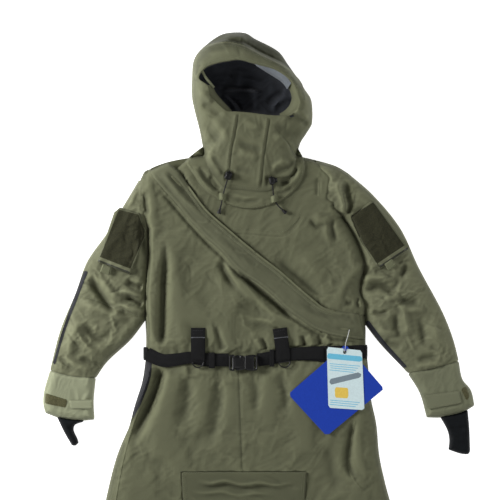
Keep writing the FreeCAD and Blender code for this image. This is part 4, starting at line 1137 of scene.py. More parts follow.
# ============================================================ trousers
SEAM_TOP, SEAM_LOW, CROTCH = (-28, -8), (-18, -274), (-4, -420)
GUSSET_INNER = [(-234, -8), (-237, -50), (-258, -110), (-289, -170)]
trouser_right = Outline(GUSSET_INNER, [(-289, -170)] + HIP_RIGHT[4:], ANKLE_RIGHT, INSEAM_RIGHT,
                        [CROTCH, SEAM_LOW], [SEAM_LOW, SEAM_TOP], [SEAM_TOP, (-234, -8)])
trouser_left = Outline([SEAM_TOP, SEAM_LOW], [SEAM_LOW, CROTCH], INSEAM_LEFT, ANKLE_LEFT,
                       HIP_LEFT[:-1] + [(278, -8)], [(278, -8), SEAM_TOP])
gusset = Outline(list(reversed(GUSSET_INNER)), [(-234, -8), (-250, -8)],
                 [(-250, -8), (-258, -62), (-276, -120), (-289, -170)])
relief_outline = Outline(*closed((-166, -276), (137, -276), (129, -396), (-158, -396)))


def relief_recess(x, y):
    """The trousers' surface, let in under the relief flap."""
    z = body_surface(x, y)
    deep = np.where(relief_outline.inside(x, y), ease(relief_outline.distance(x, y) / 5), 0.0)
    return z * (1 - deep) + np.minimum(z, 25.0) * deep


def trousers():
    """Both trouser halves with their seams, and the dark gusset on the right."""
    right, left = [slab("trouser_" + name + "_cloth", outline, Panel(outline, relief_recess).top, 1.0, suit,
                        step=FINE + 0.8)
                   for name, outline in (("right", trouser_right), ("left", trouser_left))]
    thigh = [(249, -150), (240, -205), (235, -262), (248, -300), (268, -323)]
    outer = [(-209, -30), (-233, -79), (-274, -149), (-303, -240), (-330, -385)]
    join("trouser_left_cloth", left, lapped_seam(body_surface, *thigh), stitches(body_surface, *thigh))
    join("trouser_right_cloth", right, lapped_seam(body_surface, *outer))
    place(right, "root", "lower_front_right", "leg_right", slot="suit_fabric")
    place(left, "root", "lower_front_left", "leg_left", slot="suit_fabric")
    place(slab("gusset_cloth", gusset, Panel(gusset, lift=-1.0).top, BODY_FLOOR - 1, side_cloth, step=2.5),
          "root", "side_gusset_right", slot="side_panel_fabric")


LEG_MIDDLE = -4


def mirrored(side, *points):
    """Points given by their distance from the middle of the legs, on one side."""
    return [(LEG_MIDDLE + side * reach, y) for reach, y in points]


def knees_and_socks():
    """The knee patches and the socks, mirrored about the middle of the legs."""
    for side, name in ((-1, "right"), (1, "left")):
        knee = Outline(mirrored(side, (352, -640), (362, -760), (346, -890)),
                       mirrored(side, (346, -890), (212, -890)),
                       mirrored(side, (212, -890), (190, -760), (152, -640)),
                       mirrored(side, (152, -640), (352, -640)))
        top = lambda x, y: body_surface(x, y) + 1.8 * dome(knee.distance(x, y) / 2.5)
        patch = slab("knee_patch_" + name, knee, top, lifted(body_surface, -1), suit_dark, step=3.4)
        row = mirrored(side, (344, -650), (353, -760), (338, -882), (220, -882))
        join(patch.name, patch, stitches(lifted(body_surface, 1.7), *row))
        place(patch, "root", "knee_patches", slot="suit_fabric")
        foot = Outline(mirrored(side, (342, -1111), (376, -1142), (438, -1168), (456, -1194), (430, -1219),
                                (340, -1227), (262, -1222), (214, -1202), (202, -1160), (214, -1119)),
                       mirrored(side, (214, -1119), (342, -1111)))
        crumple = [Fold(-5, 7, 9, *mirrored(side, (230, -1140), (290, -1150), (350, -1136))),
                   Fold(-4, 6, 8, *mirrored(side, (240, -1170), (310, -1176), (390, -1170)))]

        def sock_top(x, y):
            z = 1 + 28 * dome(foot.distance(x, y) / 26)
            z = add_folds(z, x, y, crumple) + 0.8 * creases(x, y, 50, 22, 10, 31)
            ankle = ease((y + 1135) / 22)
            return np.maximum(z * (1 - ankle) + np.maximum(z, 24) * ankle, 1.4)

        sock = slab("sock_cloth_" + name, foot, sock_top, 0.3, sock_cloth, step=3.4)
        place(sock, "root", "socks", slot="sock_fabric")


# ============================================================ sleeves
RIGHT_OUTER = [(-264, 424), (-303, 359), (-345, 290), (-391, 224), (-418, 150), (-455, 60), (-480, -36)]
RIGHT_WRIST = [(-480, -36), (-440, -47), (-370, -55)]
RIGHT_INNER = [(-370, -55), (-344, -18), (-286, 37), (-250, 84)]
RIGHT_ARMPIT = [(-250, 84), (-245, 144), (-240, 230), (-240, 301), (-253, 350), (-257, 400), (-264, 424)]
LEFT_TOP = [(151, 467), (206, 453), (238, 434)]
LEFT_OUTER = [(238, 434), (293, 386), (360, 305), (406, 208), (463, 101), (488, 37), (501, -14)]
LEFT_WRIST = [(501, -14), (446, -29), (378, -43)]
LEFT_INNER = [(378, -43), (369, -33), (313, 26), (274, 76)]
LEFT_ARMPIT = [(274, 76), (272, 110), (260, 156), (268, 205), (268, 226), (251, 274), (217, 330)]
LEFT_ARMHOLE = [(217, 330), (201, 345), (201, 359), (180, 374), (184, 398), (188, 424), (170, 446),
                (151, 467)]
sleeve_right = Outline(RIGHT_OUTER, RIGHT_WRIST, RIGHT_INNER, RIGHT_ARMPIT)
sleeve_left = Outline(LEFT_TOP, LEFT_OUTER, LEFT_WRIST, LEFT_INNER, LEFT_ARMPIT, LEFT_ARMHOLE)
SLEEVE_RIGHT_FORM = Outline(
    [(-196, 463), (-240, 446), (-264, 424)], RIGHT_OUTER, [(-480, -36), (-505, -120)],
    [(-505, -120), (-360, -150)], [(-360, -150), (-370, -55)], RIGHT_INNER,
    [(-250, 84), (-247, 144), (-242, 230), (-243, 301)],
    [(-243, 301), (-226, 340), (-196, 400), (-196, 463)])
SLEEVE_LEFT_FORM = Outline(
    [(112, 478), (151, 469), (206, 453), (238, 434)], LEFT_OUTER, [(501, -14), (560, -130)],
    [(560, -130), (400, -170)], [(400, -170), (378, -43)], LEFT_INNER,
    [(274, 76), (273, 110), (261, 156), (270, 205), (270, 226), (253, 276), (219, 333)],
    [(219, 333), (150, 330), (100, 400), (112, 478)])
SLEEVE_RIGHT_FOLDS = [
    Fold(7, 12, 13, (-406, 138), (-380, 118), (-347, 108), (-318, 96), (-290, 76), fade=0.25),
    Fold(-11, 9, 10, (-384, 190), (-366, 160), (-352, 140), (-336, 118), (-318, 100), fade=0.25),
    Fold(6, 9, 10, (-366, 196), (-346, 168), (-326, 146), (-300, 128)),
    Fold(-8, 11, 10, (-400, 80), (-378, 52), (-352, 40), (-330, 62), fade=0.35),
    Fold(6, 10, 12, (-420, 60), (-398, 30), (-372, 8), (-346, 4), fade=0.35),
    Fold(-7, 6, 7, (-300, 178), (-280, 170), (-256, 163), fade_end=0.1),
    Fold(6, 6, 7, (-316, 158), (-290, 152), (-256, 141), fade_end=0.1),
    Fold(-7, 6, 6, (-300, 140), (-278, 132), (-256, 121), fade_end=0.1),
    Fold(6, 6, 7, (-310, 120), (-284, 114), (-256, 104), fade_end=0.1),
    Fold(5, 9, 10, (-276, 400), (-284, 372), (-280, 356)),
    Fold(-5, 8, 9, (-258, 330), (-256, 290), (-256, 230)),
    Fold(5, 10, 11, (-272, 200), (-266, 230), (-262, 276)),
    Fold(-6, 12, 12, (-430, 100), (-446, 60), (-456, 20)),
    Fold(5, 12, 12, (-410, 90), (-424, 40), (-434, -10)),
    Fold(-5, 9, 10, (-410, -4), (-380, -18), (-352, -24)),
    Fold(4, 9, 9, (-440, -12), (-408, -28), (-376, -36)),
    Fold(-4, 8, 8, (-460, 0), (-440, -22), (-414, -34)),
]
SLEEVE_LEFT_FOLDS = [
    Fold(7, 8, 9, (221, 424), (212, 408), (214, 387), (224, 362), (224, 334), fade=0.2, fade_end=0.1),
    Fold(-8, 8, 8, (230, 420), (230, 396), (236, 362), (232, 336), fade=0.25, fade_end=0.1),
    Fold(4, 10, 8, (162, 456), (176, 446), (196, 428), (198, 400), (196, 380), fade=0.2),
    Fold(-10, 10, 9, (270, 158), (290, 160), (314, 164), (338, 152), (350, 138), fade=0.25),
    Fold(7, 9, 9, (262, 182), (292, 186), (318, 186), (342, 176)),
    Fold(6, 8, 9, (318, 134), (336, 140), (360, 148)),
    Fold(6, 7, 8, (362, 200), (358, 176), (350, 146)),
    Fold(-8, 8, 8, (374, 226), (364, 196), (350, 162), (346, 140)),
    Fold(-6, 8, 9, (346, 138), (372, 128), (410, 130)),
    Fold(6, 8, 9, (350, 120), (384, 110), (424, 110)),
    Fold(6, 9, 10, (366, 110), (374, 78), (380, 44)),
    Fold(-6, 9, 10, (346, 104), (350, 70), (352, 36)),
    Fold(-6, 10, 10, (400, 96), (410, 60), (420, 14), fade=0.35),
    Fold(5, 11, 12, (430, 90), (444, 50), (456, 6), fade=0.35),
    Fold(-5, 8, 9, (318, 40), (340, 26), (366, 20)),
    Fold(5, 8, 9, (300, 66), (330, 54), (362, 60)),
    Fold(-5, 7, 8, (290, 108), (312, 100), (334, 104)),
    Fold(-5, 8, 8, (396, -12), (424, -6), (452, -4)),
    Fold(4, 8, 8, (392, -26), (424, -22), (460, -16)),
]

SLEEVE_RIGHT_FOLDS += strewn(
    (141, 18, [(-400, 200), (-262, 190), (-262, 90), (-420, 120)], 160, 26, (24, 70), (2.2, 3.4),
     (1.2, 2.6)),
    (142, 18, [(-430, 110), (-300, 80), (-370, -40), (-470, -30)], 120, 30, (24, 80), (2.2, 3.4),
     (1.0, 2.2)),
    (143, 6, [(-300, 330), (-262, 330), (-262, 240), (-300, 240)], 80, 24, (20, 60), (2.2, 3.2), (0.8, 1.8)))
SLEEVE_LEFT_FOLDS += strewn(
    (151, 22, [(268, 240), (380, 240), (430, 150), (274, 100)], 10, 28, (24, 70), (2.2, 3.4), (1.2, 2.6)),
    (152, 14, [(290, 100), (430, 140), (480, -10), (380, -30)], 110, 34, (24, 80), (2.2, 3.4), (0.8, 1.8)),
    (153, 4, [(180, 440), (260, 410), (250, 350), (200, 350)], 60, 30, (24, 60), (2.2, 3.2), (0.8, 1.8)))


class Sleeve:
    """The rounded form of one sleeve with its folds, falling a little towards the wrist."""

    def __init__(self, form, folds, seed):
        self.form, self.folds, self.seed = form, folds, seed
        self.crumple = Crumple(form, self.smooth, step=6.0, growth=0.06, stiff=0.2, seed=seed)

    def smooth(self, x, y):
        d = self.form.distance(x, y)
        tall = 26 - 3.5 * ease((60 - y) / 90) + 3.0 * ease((y - 300) / 90)
        z = 1.5 + tall * dome(d / 30)
        folds = add_folds(np.zeros_like(z), x, y, self.folds)
        return z + ease(d / 10) * folds * SLEEVE_FOLD_GAIN * FOLD_GAIN

    def __call__(self, x, y):
        d = self.form.distance(x, y)
        z = self.smooth(x, y) + SLEEVE_CRUMPLE_SHARE * self.crumple(x, y)
        fade = ease(d / 22)
        z += fade * 0.9 * creases(x, y, 70, 22, 60, self.seed)
        z += fade * 0.6 * creases(x, y, 40, 12, 20, self.seed + 3)
        return np.maximum(z, 2.0)


right_sleeve_surface = Sleeve(SLEEVE_RIGHT_FORM, SLEEVE_RIGHT_FOLDS, 41)
left_sleeve_surface = Sleeve(SLEEVE_LEFT_FORM, SLEEVE_LEFT_FOLDS, 53)


def sleeves():
    """Both sleeves with their elbow seams, and the dark strips along their edges."""
    elbows = {"right": [(-413, 140), (-362, 125), (-322, 107), (-264, 89)],
              "left": [(281, 96), (316, 104), (350, 118), (406, 151), (427, 162)]}
    for name, outline, surface in (("right", sleeve_right, right_sleeve_surface),
                                   ("left", sleeve_left, left_sleeve_surface)):
        whole = slab("sleeve_cloth_" + name, outline, Panel(outline, surface, 1.4).top, 0.5, sleeve_cloth,
                     step=FINE)
        elbow = elbows[name]
        join(whole.name, whole, lapped_seam(surface, *elbow), stitches(surface, *shifted(elbow, 0, 5)))
        place(whole, "root", "sleeve_" + name, slot="suit_fabric")
    stripe = Outline([(-397, 204), (-424, 133), (-448, 63), (-474, -24)], [(-474, -24), (-466, -20)],
                     [(-466, -20), (-440, 66), (-413, 136), (-388, 200)], [(-388, 200), (-397, 204)])
    stripe_cloth = slab("sleeve_stripe_cloth", stripe, lifted(right_sleeve_surface, 1.0),
                        lifted(right_sleeve_surface, -2), side_cloth, step=2.0)
    place(stripe_cloth, "root", "sleeve_stripe_right", slot="side_panel_fabric")
    inner = Outline([(275, 77), (313, 28), (368, -31)], [(368, -31), (376, -27)],
                    [(376, -27), (320, 36), (283, 85)], [(283, 85), (275, 77)])
    edge_cloth = slab("sleeve_edge_cloth_left", inner, lifted(left_sleeve_surface, 0.8),
                      lifted(left_sleeve_surface, -2), side_cloth, step=1.8)
    place(edge_cloth, "root", slot="side_panel_fabric")


# ------------------------------------------------------------ cuffs
CUFF_RIGHT_OUTER = [(-480, -36.5), (-495, -91), (-496, -120), (-491, -139)]
CUFF_RIGHT_END = [(-491, -139), (-462, -150), (-418, -158), (-373, -155)]
CUFF_RIGHT_INNER = [(-373, -155), (-375, -110), (-370, -55.5)]
CUFF_LEFT_OUTER = [(501, -14.5), (510, -58), (530, -84), (539, -121)]
CUFF_LEFT_END = [(539, -121), (508, -139), (460, -150), (424, -150)]
CUFF_LEFT_INNER = [(424, -150), (407, -91), (378, -43.5)]


class Cuff:
    """A cuff's surface: rounded at its sides and its open end, but not where the sleeve joins it."""

    def __init__(self, outer, end, inner, top_run, seed):
        self.outline = Outline(outer, end, inner, top_run)
        up_sleeve = shifted([outer[0], inner[-1]], 0, 60)
        self.form = Outline([up_sleeve[0], outer[0]], outer, end, inner, [inner[-1], up_sleeve[1]],
                            up_sleeve[::-1])
        self.seed = seed

    def __call__(self, x, y):
        d = self.form.distance(x, y)
        z = 1.5 + 22.5 * dome(d / 20)
        return np.maximum(z + ease(d / 12) * 0.9 * creases(x, y, 40, 16, 70, self.seed), 2.0)


cuff_right = Cuff(CUFF_RIGHT_OUTER, CUFF_RIGHT_END, CUFF_RIGHT_INNER,
                  [(-370, -55.5), (-440, -47.5), (-480, -36.5)], 61)
cuff_left = Cuff(CUFF_LEFT_OUTER, CUFF_LEFT_END, CUFF_LEFT_INNER,
                 [(378, -43.5), (446, -29.5), (501, -14.5)], 67)


def raised_patch(name, outline, surface, thick, material, step=2.0, under=1.5):
    """A flat piece laid on a surface, with rounded edges."""
    top = lambda x, y: surface(x, y) + thick * dome((outline.distance(x, y) + 0.4) / 2.5)
    return slab(name, outline, top, lifted(surface, -under), material, step=step)


def inset(points, by):
    """A polygon's corners moved towards its middle by about a distance."""
    p = np.array(points, float)
    middle = p.mean(0)
    away = p - middle
    return [tuple(q) for q in middle + away * (1 - by / np.linalg.norm(away, axis=1))[:, None]]


def cuffs():
    """Both cuffs with their stitched hems, loop patches and closing tabs."""
    for name, cuff, end_run in (("right", cuff_right, CUFF_RIGHT_END), ("left", cuff_left, CUFF_LEFT_END)):
        whole = slab("cuff_cloth_" + name, cuff.outline, Panel(cuff.outline, cuff, 1.5).top, 0.5,
                     cuff_cloth[name], step=2.2)
        hem = shifted(end_run[1:-1], 0, 12)
        join(whole.name, whole, stitches(cuff, *hem), stitches(cuff, *shifted(hem, 0, 4)))
        place(whole, "root", "cuff_" + name, slot="suit_fabric")
    patches = {"right": [(-490, -90), (-437, -106), (-441, -125), (-491, -115)],
               "left": [(505, -82), (516, -72), (526, -98), (518, -109)]}
    tabs = {"right": [(-376, -106), (-376, -128), (-430, -128), (-434, -106)],
            "left": [(415, -94), (427, -130), (508, -114), (500, -84)]}
    for name, cuff in (("right", cuff_right), ("left", cuff_left)):
        patch = raised_patch("cuff_patch_" + name, Outline(*closed(*patches[name])), cuff, 1.5, cuff_pile)
        place(patch, "root", "loop_patches", slot="loop_pile")
        tab_outline = Outline(*closed(*tabs[name]))
        flat = lambda x, y: np.full(np.shape(x), 24.6)
        tab = raised_patch("cuff_tab_cloth_" + name, tab_outline, flat, 2.6, cuff_cloth[name], under=0.0)
        join(tab.name, tab, *stitched_border(lifted(flat, 1.9), inset(tabs[name], 4)))
        place(tab, "cuff_tab_" + name, "cuff_tab_" + name, slot="suit_fabric")


def wrist_seals():
    """The dark seals that come out of the cuffs."""
    shapes = {
        "right": Outline([(-464, -146), (-418, -154), (-398, -154)], [(-398, -154), (-400, -160)],
                         [(-400, -160), (-420, -168), (-423, -180), (-414, -200), (-411, -210)],
                         [(-411, -210), (-418, -217), (-427, -217)],
                         [(-427, -217), (-446, -184), (-464, -146)]),
        "left": Outline([(452, -146), (508, -136), (522, -130)], [(522, -130), (526, -176), (528, -230)],
                        [(528, -230), (524, -237), (508, -237), (476, -227)],
                        [(476, -227), (478, -204), (474, -182), (456, -148)], [(456, -148), (452, -146)]),
    }
    folds = [Fold(-3, 4, 5, (-440, -170), (-424, -180), (-414, -196)),
             Fold(-3, 5, 6, (476, -170), (498, -176), (520, -172)),
             Fold(2, 4, 5, (478, -196), (500, -202), (524, -198))]
    for name, outline in shapes.items():
        top = lambda x, y: add_folds(4.5 + 11.5 * dome(outline.distance(x, y) / 12), x, y, folds)
        place(slab("wrist_seal_" + name, outline, top, 4.0, neoprene, step=1.8), "root", "wrist_seals",
              slot="neoprene")


# ------------------------------------------------------------ arm pockets
POCKETS = {
    "right": {
        "bag": [(-325, 342), (-311, 354), (-262, 339), (-249, 290), (-284, 192), (-366, 222)],
        "panel": [(-314, 350), (-265, 338), (-251, 298), (-251, 284), (-285, 205), (-361, 233)],
        "zip": [(-362, 228), (-326, 214), (-287, 199)],
        "slider": [(-351, 219), (-330, 211), (-337, 192), (-358, 200)],
        "up": (0.34, 0.94),
        "surface": right_sleeve_surface,
    },
    "left": {
        "bag": [(289, 371), (300, 367), (381, 262), (378, 250), (311, 204), (300, 215), (268, 269),
                (243, 331)],
        "panel": [(295, 368), (241, 335), (244, 322), (270, 266), (307, 212), (374, 258)],
        "zip": [(309, 213), (342, 235), (377, 258)],
        "slider": [(320, 219), (339, 231), (349, 215), (330, 203)],
        "up": (-0.54, 0.84),
        "surface": left_sleeve_surface,
    },
}


def arm_pockets():
    """The two pockets on the upper arms: bag, loop panel with its binding, zipper and slider."""
    for name, spec in POCKETS.items():
        surface = spec["surface"]
        bag_outline = Outline(*closed(*spec["bag"]))

        def bag_top(x, y):
            return np.maximum(surface(x, y), 22) + 8.0 * dome((bag_outline.distance(x, y) + 0.3) / 7)

        bag = slab("pocket_bag_" + name, bag_outline, bag_top, lifted(surface, -3), suit, step=2.2)
        join(bag.name, bag, *stitched_border(lifted(bag_top, -0.1), inset(spec["bag"], 3)))
        place(bag, "root", "arm_pockets", slot="suit_fabric")
        panel_outline = Outline(*closed(*spec["panel"]))
        place(raised_patch("loop_panel_" + name, panel_outline, bag_top, 1.9, loop_pile, step=1.8),
              "root", "loop_patches", slot="loop_pile")
        bindings = [ribbon("binding", side, 2.8, bag_top, 1.2, 0.9, suit_light, step=2.5, columns=4)
                    for side in closed(*spec["panel"])]
        lip_line = shifted(spec["zip"], *(4.6 * part for part in spec["up"]))
        lip = ribbon("lip", lip_line, 7.5, bag_top, 1.4, 1.0, sleeve_cloth, step=2.5)
        binding = join("panel_binding_" + name, *bindings, lip)
        place(binding, "root", slot="suit_fabric")
        zipper = ribbon("zip_tape", spec["zip"], 8.5, bag_top, 0.2, 1.0, tape, step=2.5)
        coil = ribbon("zip_coil", spec["zip"], 2.6, bag_top, 0.9, 1.3, zip_plastic, step=1.2, columns=4)
        place(join("pocket_zip_" + name, zipper, coil), "root", "pocket_zips", slot="zipper_tape")
        slider_outline = Outline(*closed(*spec["slider"]), step=1.5)
        slider = slab("pocket_slider_body_" + name, slider_outline,
                      lambda x, y: 39.4 + 3.2 * dome(slider_outline.distance(x, y) / 2.5), 38.8,
                      olive_web, step=0.9)
        place(slider, "pocket_slider_" + name, "pocket_slider_" + name, slot="zipper_plastic")


# ============================================================ hood
HOOD_MIDDLE = (0, 625)
HOOD_EDGE = [(150, 583), (149, 556), (135, 531), (121, 509), (111, 473), (103, 442), (94, 430), (61, 421),
             (53, 398), (25, 391), (-12, 395), (-49, 399), (-63, 402), (-77, 418), (-98, 446), (-110, 485),
             (-121, 540), (-132, 583), (-139, 617), (-139, 666), (-136, 702), (-127, 722), (-105, 744),
             (-72, 767), (-49, 773), (-11, 772), (11, 759), (69, 727), (91, 697), (116, 661), (132, 636),
             (146, 614)]
HOOD_MOUTH = [(119, 602), (114, 620), (106, 641), (92, 659), (60, 680), (18, 692), (-27, 703),
              (-51.7, 700), (-82, 694), (-104, 685), (-119, 670), (-122, 659), (-101, 642), (-94.6, 620),
              (-76, 599), (-55, 582), (-30, 580), (9.5, 576), (46, 572), (68, 571), (97, 574)]
BRIM_SEAM = [(132, 608), (130, 630), (126, 648), (112, 668), (89, 683), (46, 703), (15.6, 718.6),
             (-5.8, 731), (-45.6, 742), (-91.5, 740), (-113, 731), (-127, 712), (-133, 690), (-132, 668)]
# the mouth's rim climbs towards the crown: its slope, and its height at one place along y
RIM_SLOPE, RIM_LOW, RIM_AT = 0.31, 56.0, 548.0


def round_hood(radius, angle):
    """The point in plan at a radius and an angle from the hood's middle."""
    return HOOD_MIDDLE[0] + radius * np.cos(angle), HOOD_MIDDLE[1] + radius * np.sin(angle)


def polar(p, closed_loop=True):
    """The radius round the hood's middle, as a function of the angle, along a smooth curve."""
    run = smooth_run(p[-2:] + p + p[:2], 2.0) if closed_loop else smooth_run(p, 2.0)
    dx, dy = run[:, 0] - HOOD_MIDDLE[0], run[:, 1] - HOOD_MIDDLE[1]
    angle, radius = np.unwrap(np.arctan2(dy, dx)), np.hypot(dx, dy)
    order = np.argsort(angle)
    angle, radius = angle[order], radius[order]
    if closed_loop:
        return lambda a: np.interp(np.mod(a, math.tau), *wrapped(angle, radius))
    return lambda a: np.interp(np.mod(a - angle[0], math.tau) + angle[0], angle, radius)


def wrapped(angle, radius):
    """The table of a closed curve, repeated one turn before and one turn after."""
    turned_angle = np.mod(angle, math.tau)
    order = np.argsort(turned_angle)
    a, r = turned_angle[order], radius[order]
    return np.concatenate([a - math.tau, a, a + math.tau]), np.tile(r, 3)


edge_radius, mouth_radius = polar(HOOD_EDGE), polar(HOOD_MOUTH)
seam_radius = polar(BRIM_SEAM, closed_loop=False)


def rim_height(y):
    """The height of the mouth's rim at a place along y."""
    return RIM_LOW + RIM_SLOPE * (y - RIM_AT)


HOOD_FOLDS = [
    # crown: the long ridge above the brim, and the hollow behind the brim on its left
    Fold(9, 9, 8, (-112, 716), (-98, 733), (-67, 745), (-36, 757), (-18, 756), (-2, 742), fade=0.2,
         power=1.7),
    Fold(-21, 26, 6, (-22, 754), (0, 739), (20, 727), (50, 712), (92, 691), (117, 674), (133, 650), fade=0.1,
         fade_end=0.3),
    Fold(7, 8, 9, (6, 764), (40, 744), (72, 722), (96, 690), fade=0.2),
    Fold(-6, 6, 7, (-118, 728), (-90, 748), (-50, 764)),
    Fold(4, 6, 7, (-60, 768), (-30, 762), (-8, 752)),
    # right side of the hood
    Fold(-8, 9, 10, (-118, 600), (-96, 592), (-78, 578), (-60, 572), fade=0.25),
    Fold(6, 9, 9, (-124, 634), (-106, 616), (-88, 600)),
    Fold(-6, 14, 14, (-112, 560), (-96, 540), (-80, 520), (-70, 496)),
    Fold(5, 12, 12, (-92, 566), (-76, 548), (-62, 530), (-52, 500)),
    Fold(-5, 9, 9, (-90, 480), (-80, 458), (-66, 440), (-58, 428), fade=0.25),
    Fold(5, 8, 9, (-104, 500), (-94, 470), (-80, 446), (-66, 424), fade=0.25),
    # chin: a soft dent
    Fold(-5, 9, 10, (-34, 512), (-10, 500), (14, 494), (34, 484)),
    Fold(4, 9, 10, (-30, 490), (0, 478), (24, 470)),
    Fold(-3, 8, 9, (-40, 446), (-14, 442), (16, 436), fade=0.35),
    Fold(3.5, 8, 9, (-20, 560), (6, 550), (30, 540), fade=0.35),
    # left side of the hood
    Fold(-8, 8, 9, (82, 566), (104, 570), (126, 560), (140, 544), fade=0.25),
    Fold(6, 9, 9, (100, 586), (122, 578), (142, 560)),
    Fold(-5, 10, 10, (56, 548), (90, 536), (120, 520)),
    Fold(4, 9, 10, (52, 530), (84, 512), (108, 492)),
    Fold(-7, 10, 9, (58, 430), (76, 438), (98, 450), (106, 470), fade=0.2),
    Fold(5, 8, 9, (50, 446), (72, 456), (94, 470)),
    Fold(-4, 7, 8, (128, 640), (138, 620), (144, 600)),
]

CHIN_RIGHT = [(-30, 577), (-38, 528), (-46, 490), (-50, 455), (-50, 432), (-49, 403)]
CHIN_LEFT = [(45, 568), (40, 536), (35, 505), (30, 470), (26, 430), (22, 397)]
HOOD_FOLDS += [
    # the chin panel's seams and the seam behind the brim
    Fold(-2.0, 2.0, 1.8, *shifted(CHIN_RIGHT, 3, 0), fade=0.04),
    Fold(1.6, 4, 4, *shifted(CHIN_RIGHT, -4, 0), fade=0.04),
    Fold(-2.0, 2.0, 1.8, *shifted(CHIN_LEFT, 3, 0), fade=0.04),
    Fold(1.6, 4, 4, *shifted(CHIN_LEFT, -4, 0), fade=0.04),
    Fold(-4.5, 4.0, 4.0, (140, 610), (137, 634), (133, 652), (119, 674), (94, 691), (50, 711), (18, 727),
         (-4, 740), (-46, 751), (-95, 749), (-119, 738), (-134, 716), fade=0.08),
]
HOOD_FOLDS += strewn(
    (171, 10, [(-130, 660), (-92, 600), (-60, 430), (-108, 470)], 110, 26, (24, 70), (2.4, 3.6), (1.0, 2.2)),
    (172, 9, [(70, 560), (140, 600), (110, 460), (56, 430)], 60, 30, (24, 70), (2.4, 3.6), (1.0, 2.2)),
    (173, 5, [(-40, 560), (40, 560), (24, 410), (-46, 410)], 15, 24, (20, 50), (2.4, 3.4), (0.6, 1.4)),
    (174, 10, [(-120, 745), (-10, 768), (120, 655), (136, 620)], 150, 24, (24, 70), (2.4, 3.6), (0.8, 2.0)))


def hood_wall(angle):
    """1 where the hood stands up from the floor, 0 where its hem lies on the chest."""
    return ease((round_hood(edge_radius(angle), angle)[1] - 452) / 55)


def hood_share(v, wall):
    """How far across from the edge to the mouth, and how far up, a point of the wall is."""
    across = (1 - wall) * v + wall * (1 - np.cos(v * math.pi / 2)) ** 0.92
    up = (1 - wall) * np.sin(v * math.pi / 2) ** 0.9 + wall * np.sin(v * math.pi / 2) ** 0.85
    return across, up


def hood_point(angle, v):
    """A point of the hood's outer form, v from its edge (0) to its mouth (1), and its share of folds."""
    wall = hood_wall(angle)
    across, up = hood_share(v, wall)
    outer, inner = edge_radius(angle), mouth_radius(angle)
    radius = outer + (inner - outer) * across
    x, y = round_hood(radius, angle)
    edge_x, edge_y = round_hood(outer, angle)
    mouth_y = round_hood(inner, angle)[1]
    on_chest = ease((500 - edge_y) / 34)
    low = 1.0 + on_chest * (collar_form(edge_x, edge_y) + 1.5)
    high = rim_height(mouth_y)
    z = low + (high - low) * up
    return x, y, z, ease(v / 0.14) * ease((1 - v) / 0.06 + 0.25)


# the boxes under the two cord locks, and how high the cloth in each of them may stand
UNDER_LOCKS = [((-61, -42, 413, 437), 44.3), ((40, 66, 402, 426), 43.8)]


def hood_height(x, y, z, amount):
    """The hood's form with its folds, pressed where the cord locks lie and slide."""
    z = z + amount * hood_relief(x, y)
    for box, limit in UNDER_LOCKS:
        z = pressed(x, y, z, box, limit, slope=1.1)
    return z


def hood_surface(x, y):
    """Height of the hood's outer surface at points in plan."""
    shape = np.shape(x)
    x, y = np.ravel(x), np.ravel(y)
    angle = np.arctan2(y - HOOD_MIDDLE[1], x - HOOD_MIDDLE[0])
    outer, inner = edge_radius(angle), mouth_radius(angle)
    share = np.clip((outer - np.hypot(x - HOOD_MIDDLE[0], y - HOOD_MIDDLE[1])) / (outer - inner), 0, 1)
    wall = hood_wall(angle)
    low, high = np.zeros_like(share), np.ones_like(share)
    for _ in range(26):
        middle = (low + high) / 2
        below = hood_share(middle, wall)[0] < share
        low, high = np.where(below, middle, low), np.where(below, high, middle)
    _, _, z, amount = hood_point(angle, (low + high) / 2)
    return hood_height(x, y, z, amount).reshape(shape)


def hood_relief(x, y):
    """The hood's folds and wrinkles, above and below its form."""
    z = add_folds(np.zeros_like(x), x, y, HOOD_FOLDS)
    z += 0.7 * creases(x, y, 60, 24, 55, 71)
    z += 0.35 * creases(x, y, 34, 12, 120, 73)
    return z


def hood_shell():
    """The hood's outer cloth: its sides and chin in one colour, its crown in a darker one that is painted
    shade behind the brim.
    """
    angles = np.linspace(0, math.tau, 520, endpoint=False)
    rings = []
    for v in np.linspace(0, 1, 50):
        x, y, z, amount = hood_point(angles, v)
        rings.append(np.column_stack([x, y, hood_height(x, y, z, amount)]))
    last = rings[-1]
    inward = -np.column_stack([np.cos(angles), np.sin(angles)])
    for move, drop in ((1.2, 0.6), (2.0, 2.0), (1.8, 4.0), (0.2, 8.0), (-2.5, 13.0)):
        rings.append(np.column_stack([last[:, :2] + inward * move, last[:, 2] - drop]))
    bottom = rings[0].copy()
    bottom[:, :2] += inward * 2.0
    bottom[:, 2] = np.maximum(bottom[:, 2] - 1.6, 0.2)
    rings.append(bottom)
    shell = tube("hood_cloth", rings, suit, capped=False)
    shell.data.materials.append(crown_painted_shade_cloth)
    # faces behind the brim's seam get the darker cloth: painted shade on the crown
    centres = np.array([tuple(p.center) for p in shell.data.polygons]) / MM - (*HOOD_MIDDLE, 0)
    turn = np.arctan2(centres[:, 1], centres[:, 0])
    behind = np.hypot(centres[:, 0], centres[:, 1]) > seam_radius(turn) + 3
    crown = behind & (turn > math.radians(8)) & (turn < math.radians(158))
    shell.data.polygons.foreach_set("material_index", crown.astype(int))
    rows = (shifted(CHIN_RIGHT, -4.5, 0), shifted(CHIN_LEFT, -4.5, 0), [(-44, 404), (-12, 400), (20, 396)])
    join("hood_cloth", shell, *[stitches(hood_surface, *row) for row in rows])
    place(shell, "root", "hood_back", "hood_crown", "hood_side_right", "hood_side_left", "chin_panel",
          slot="suit_fabric")


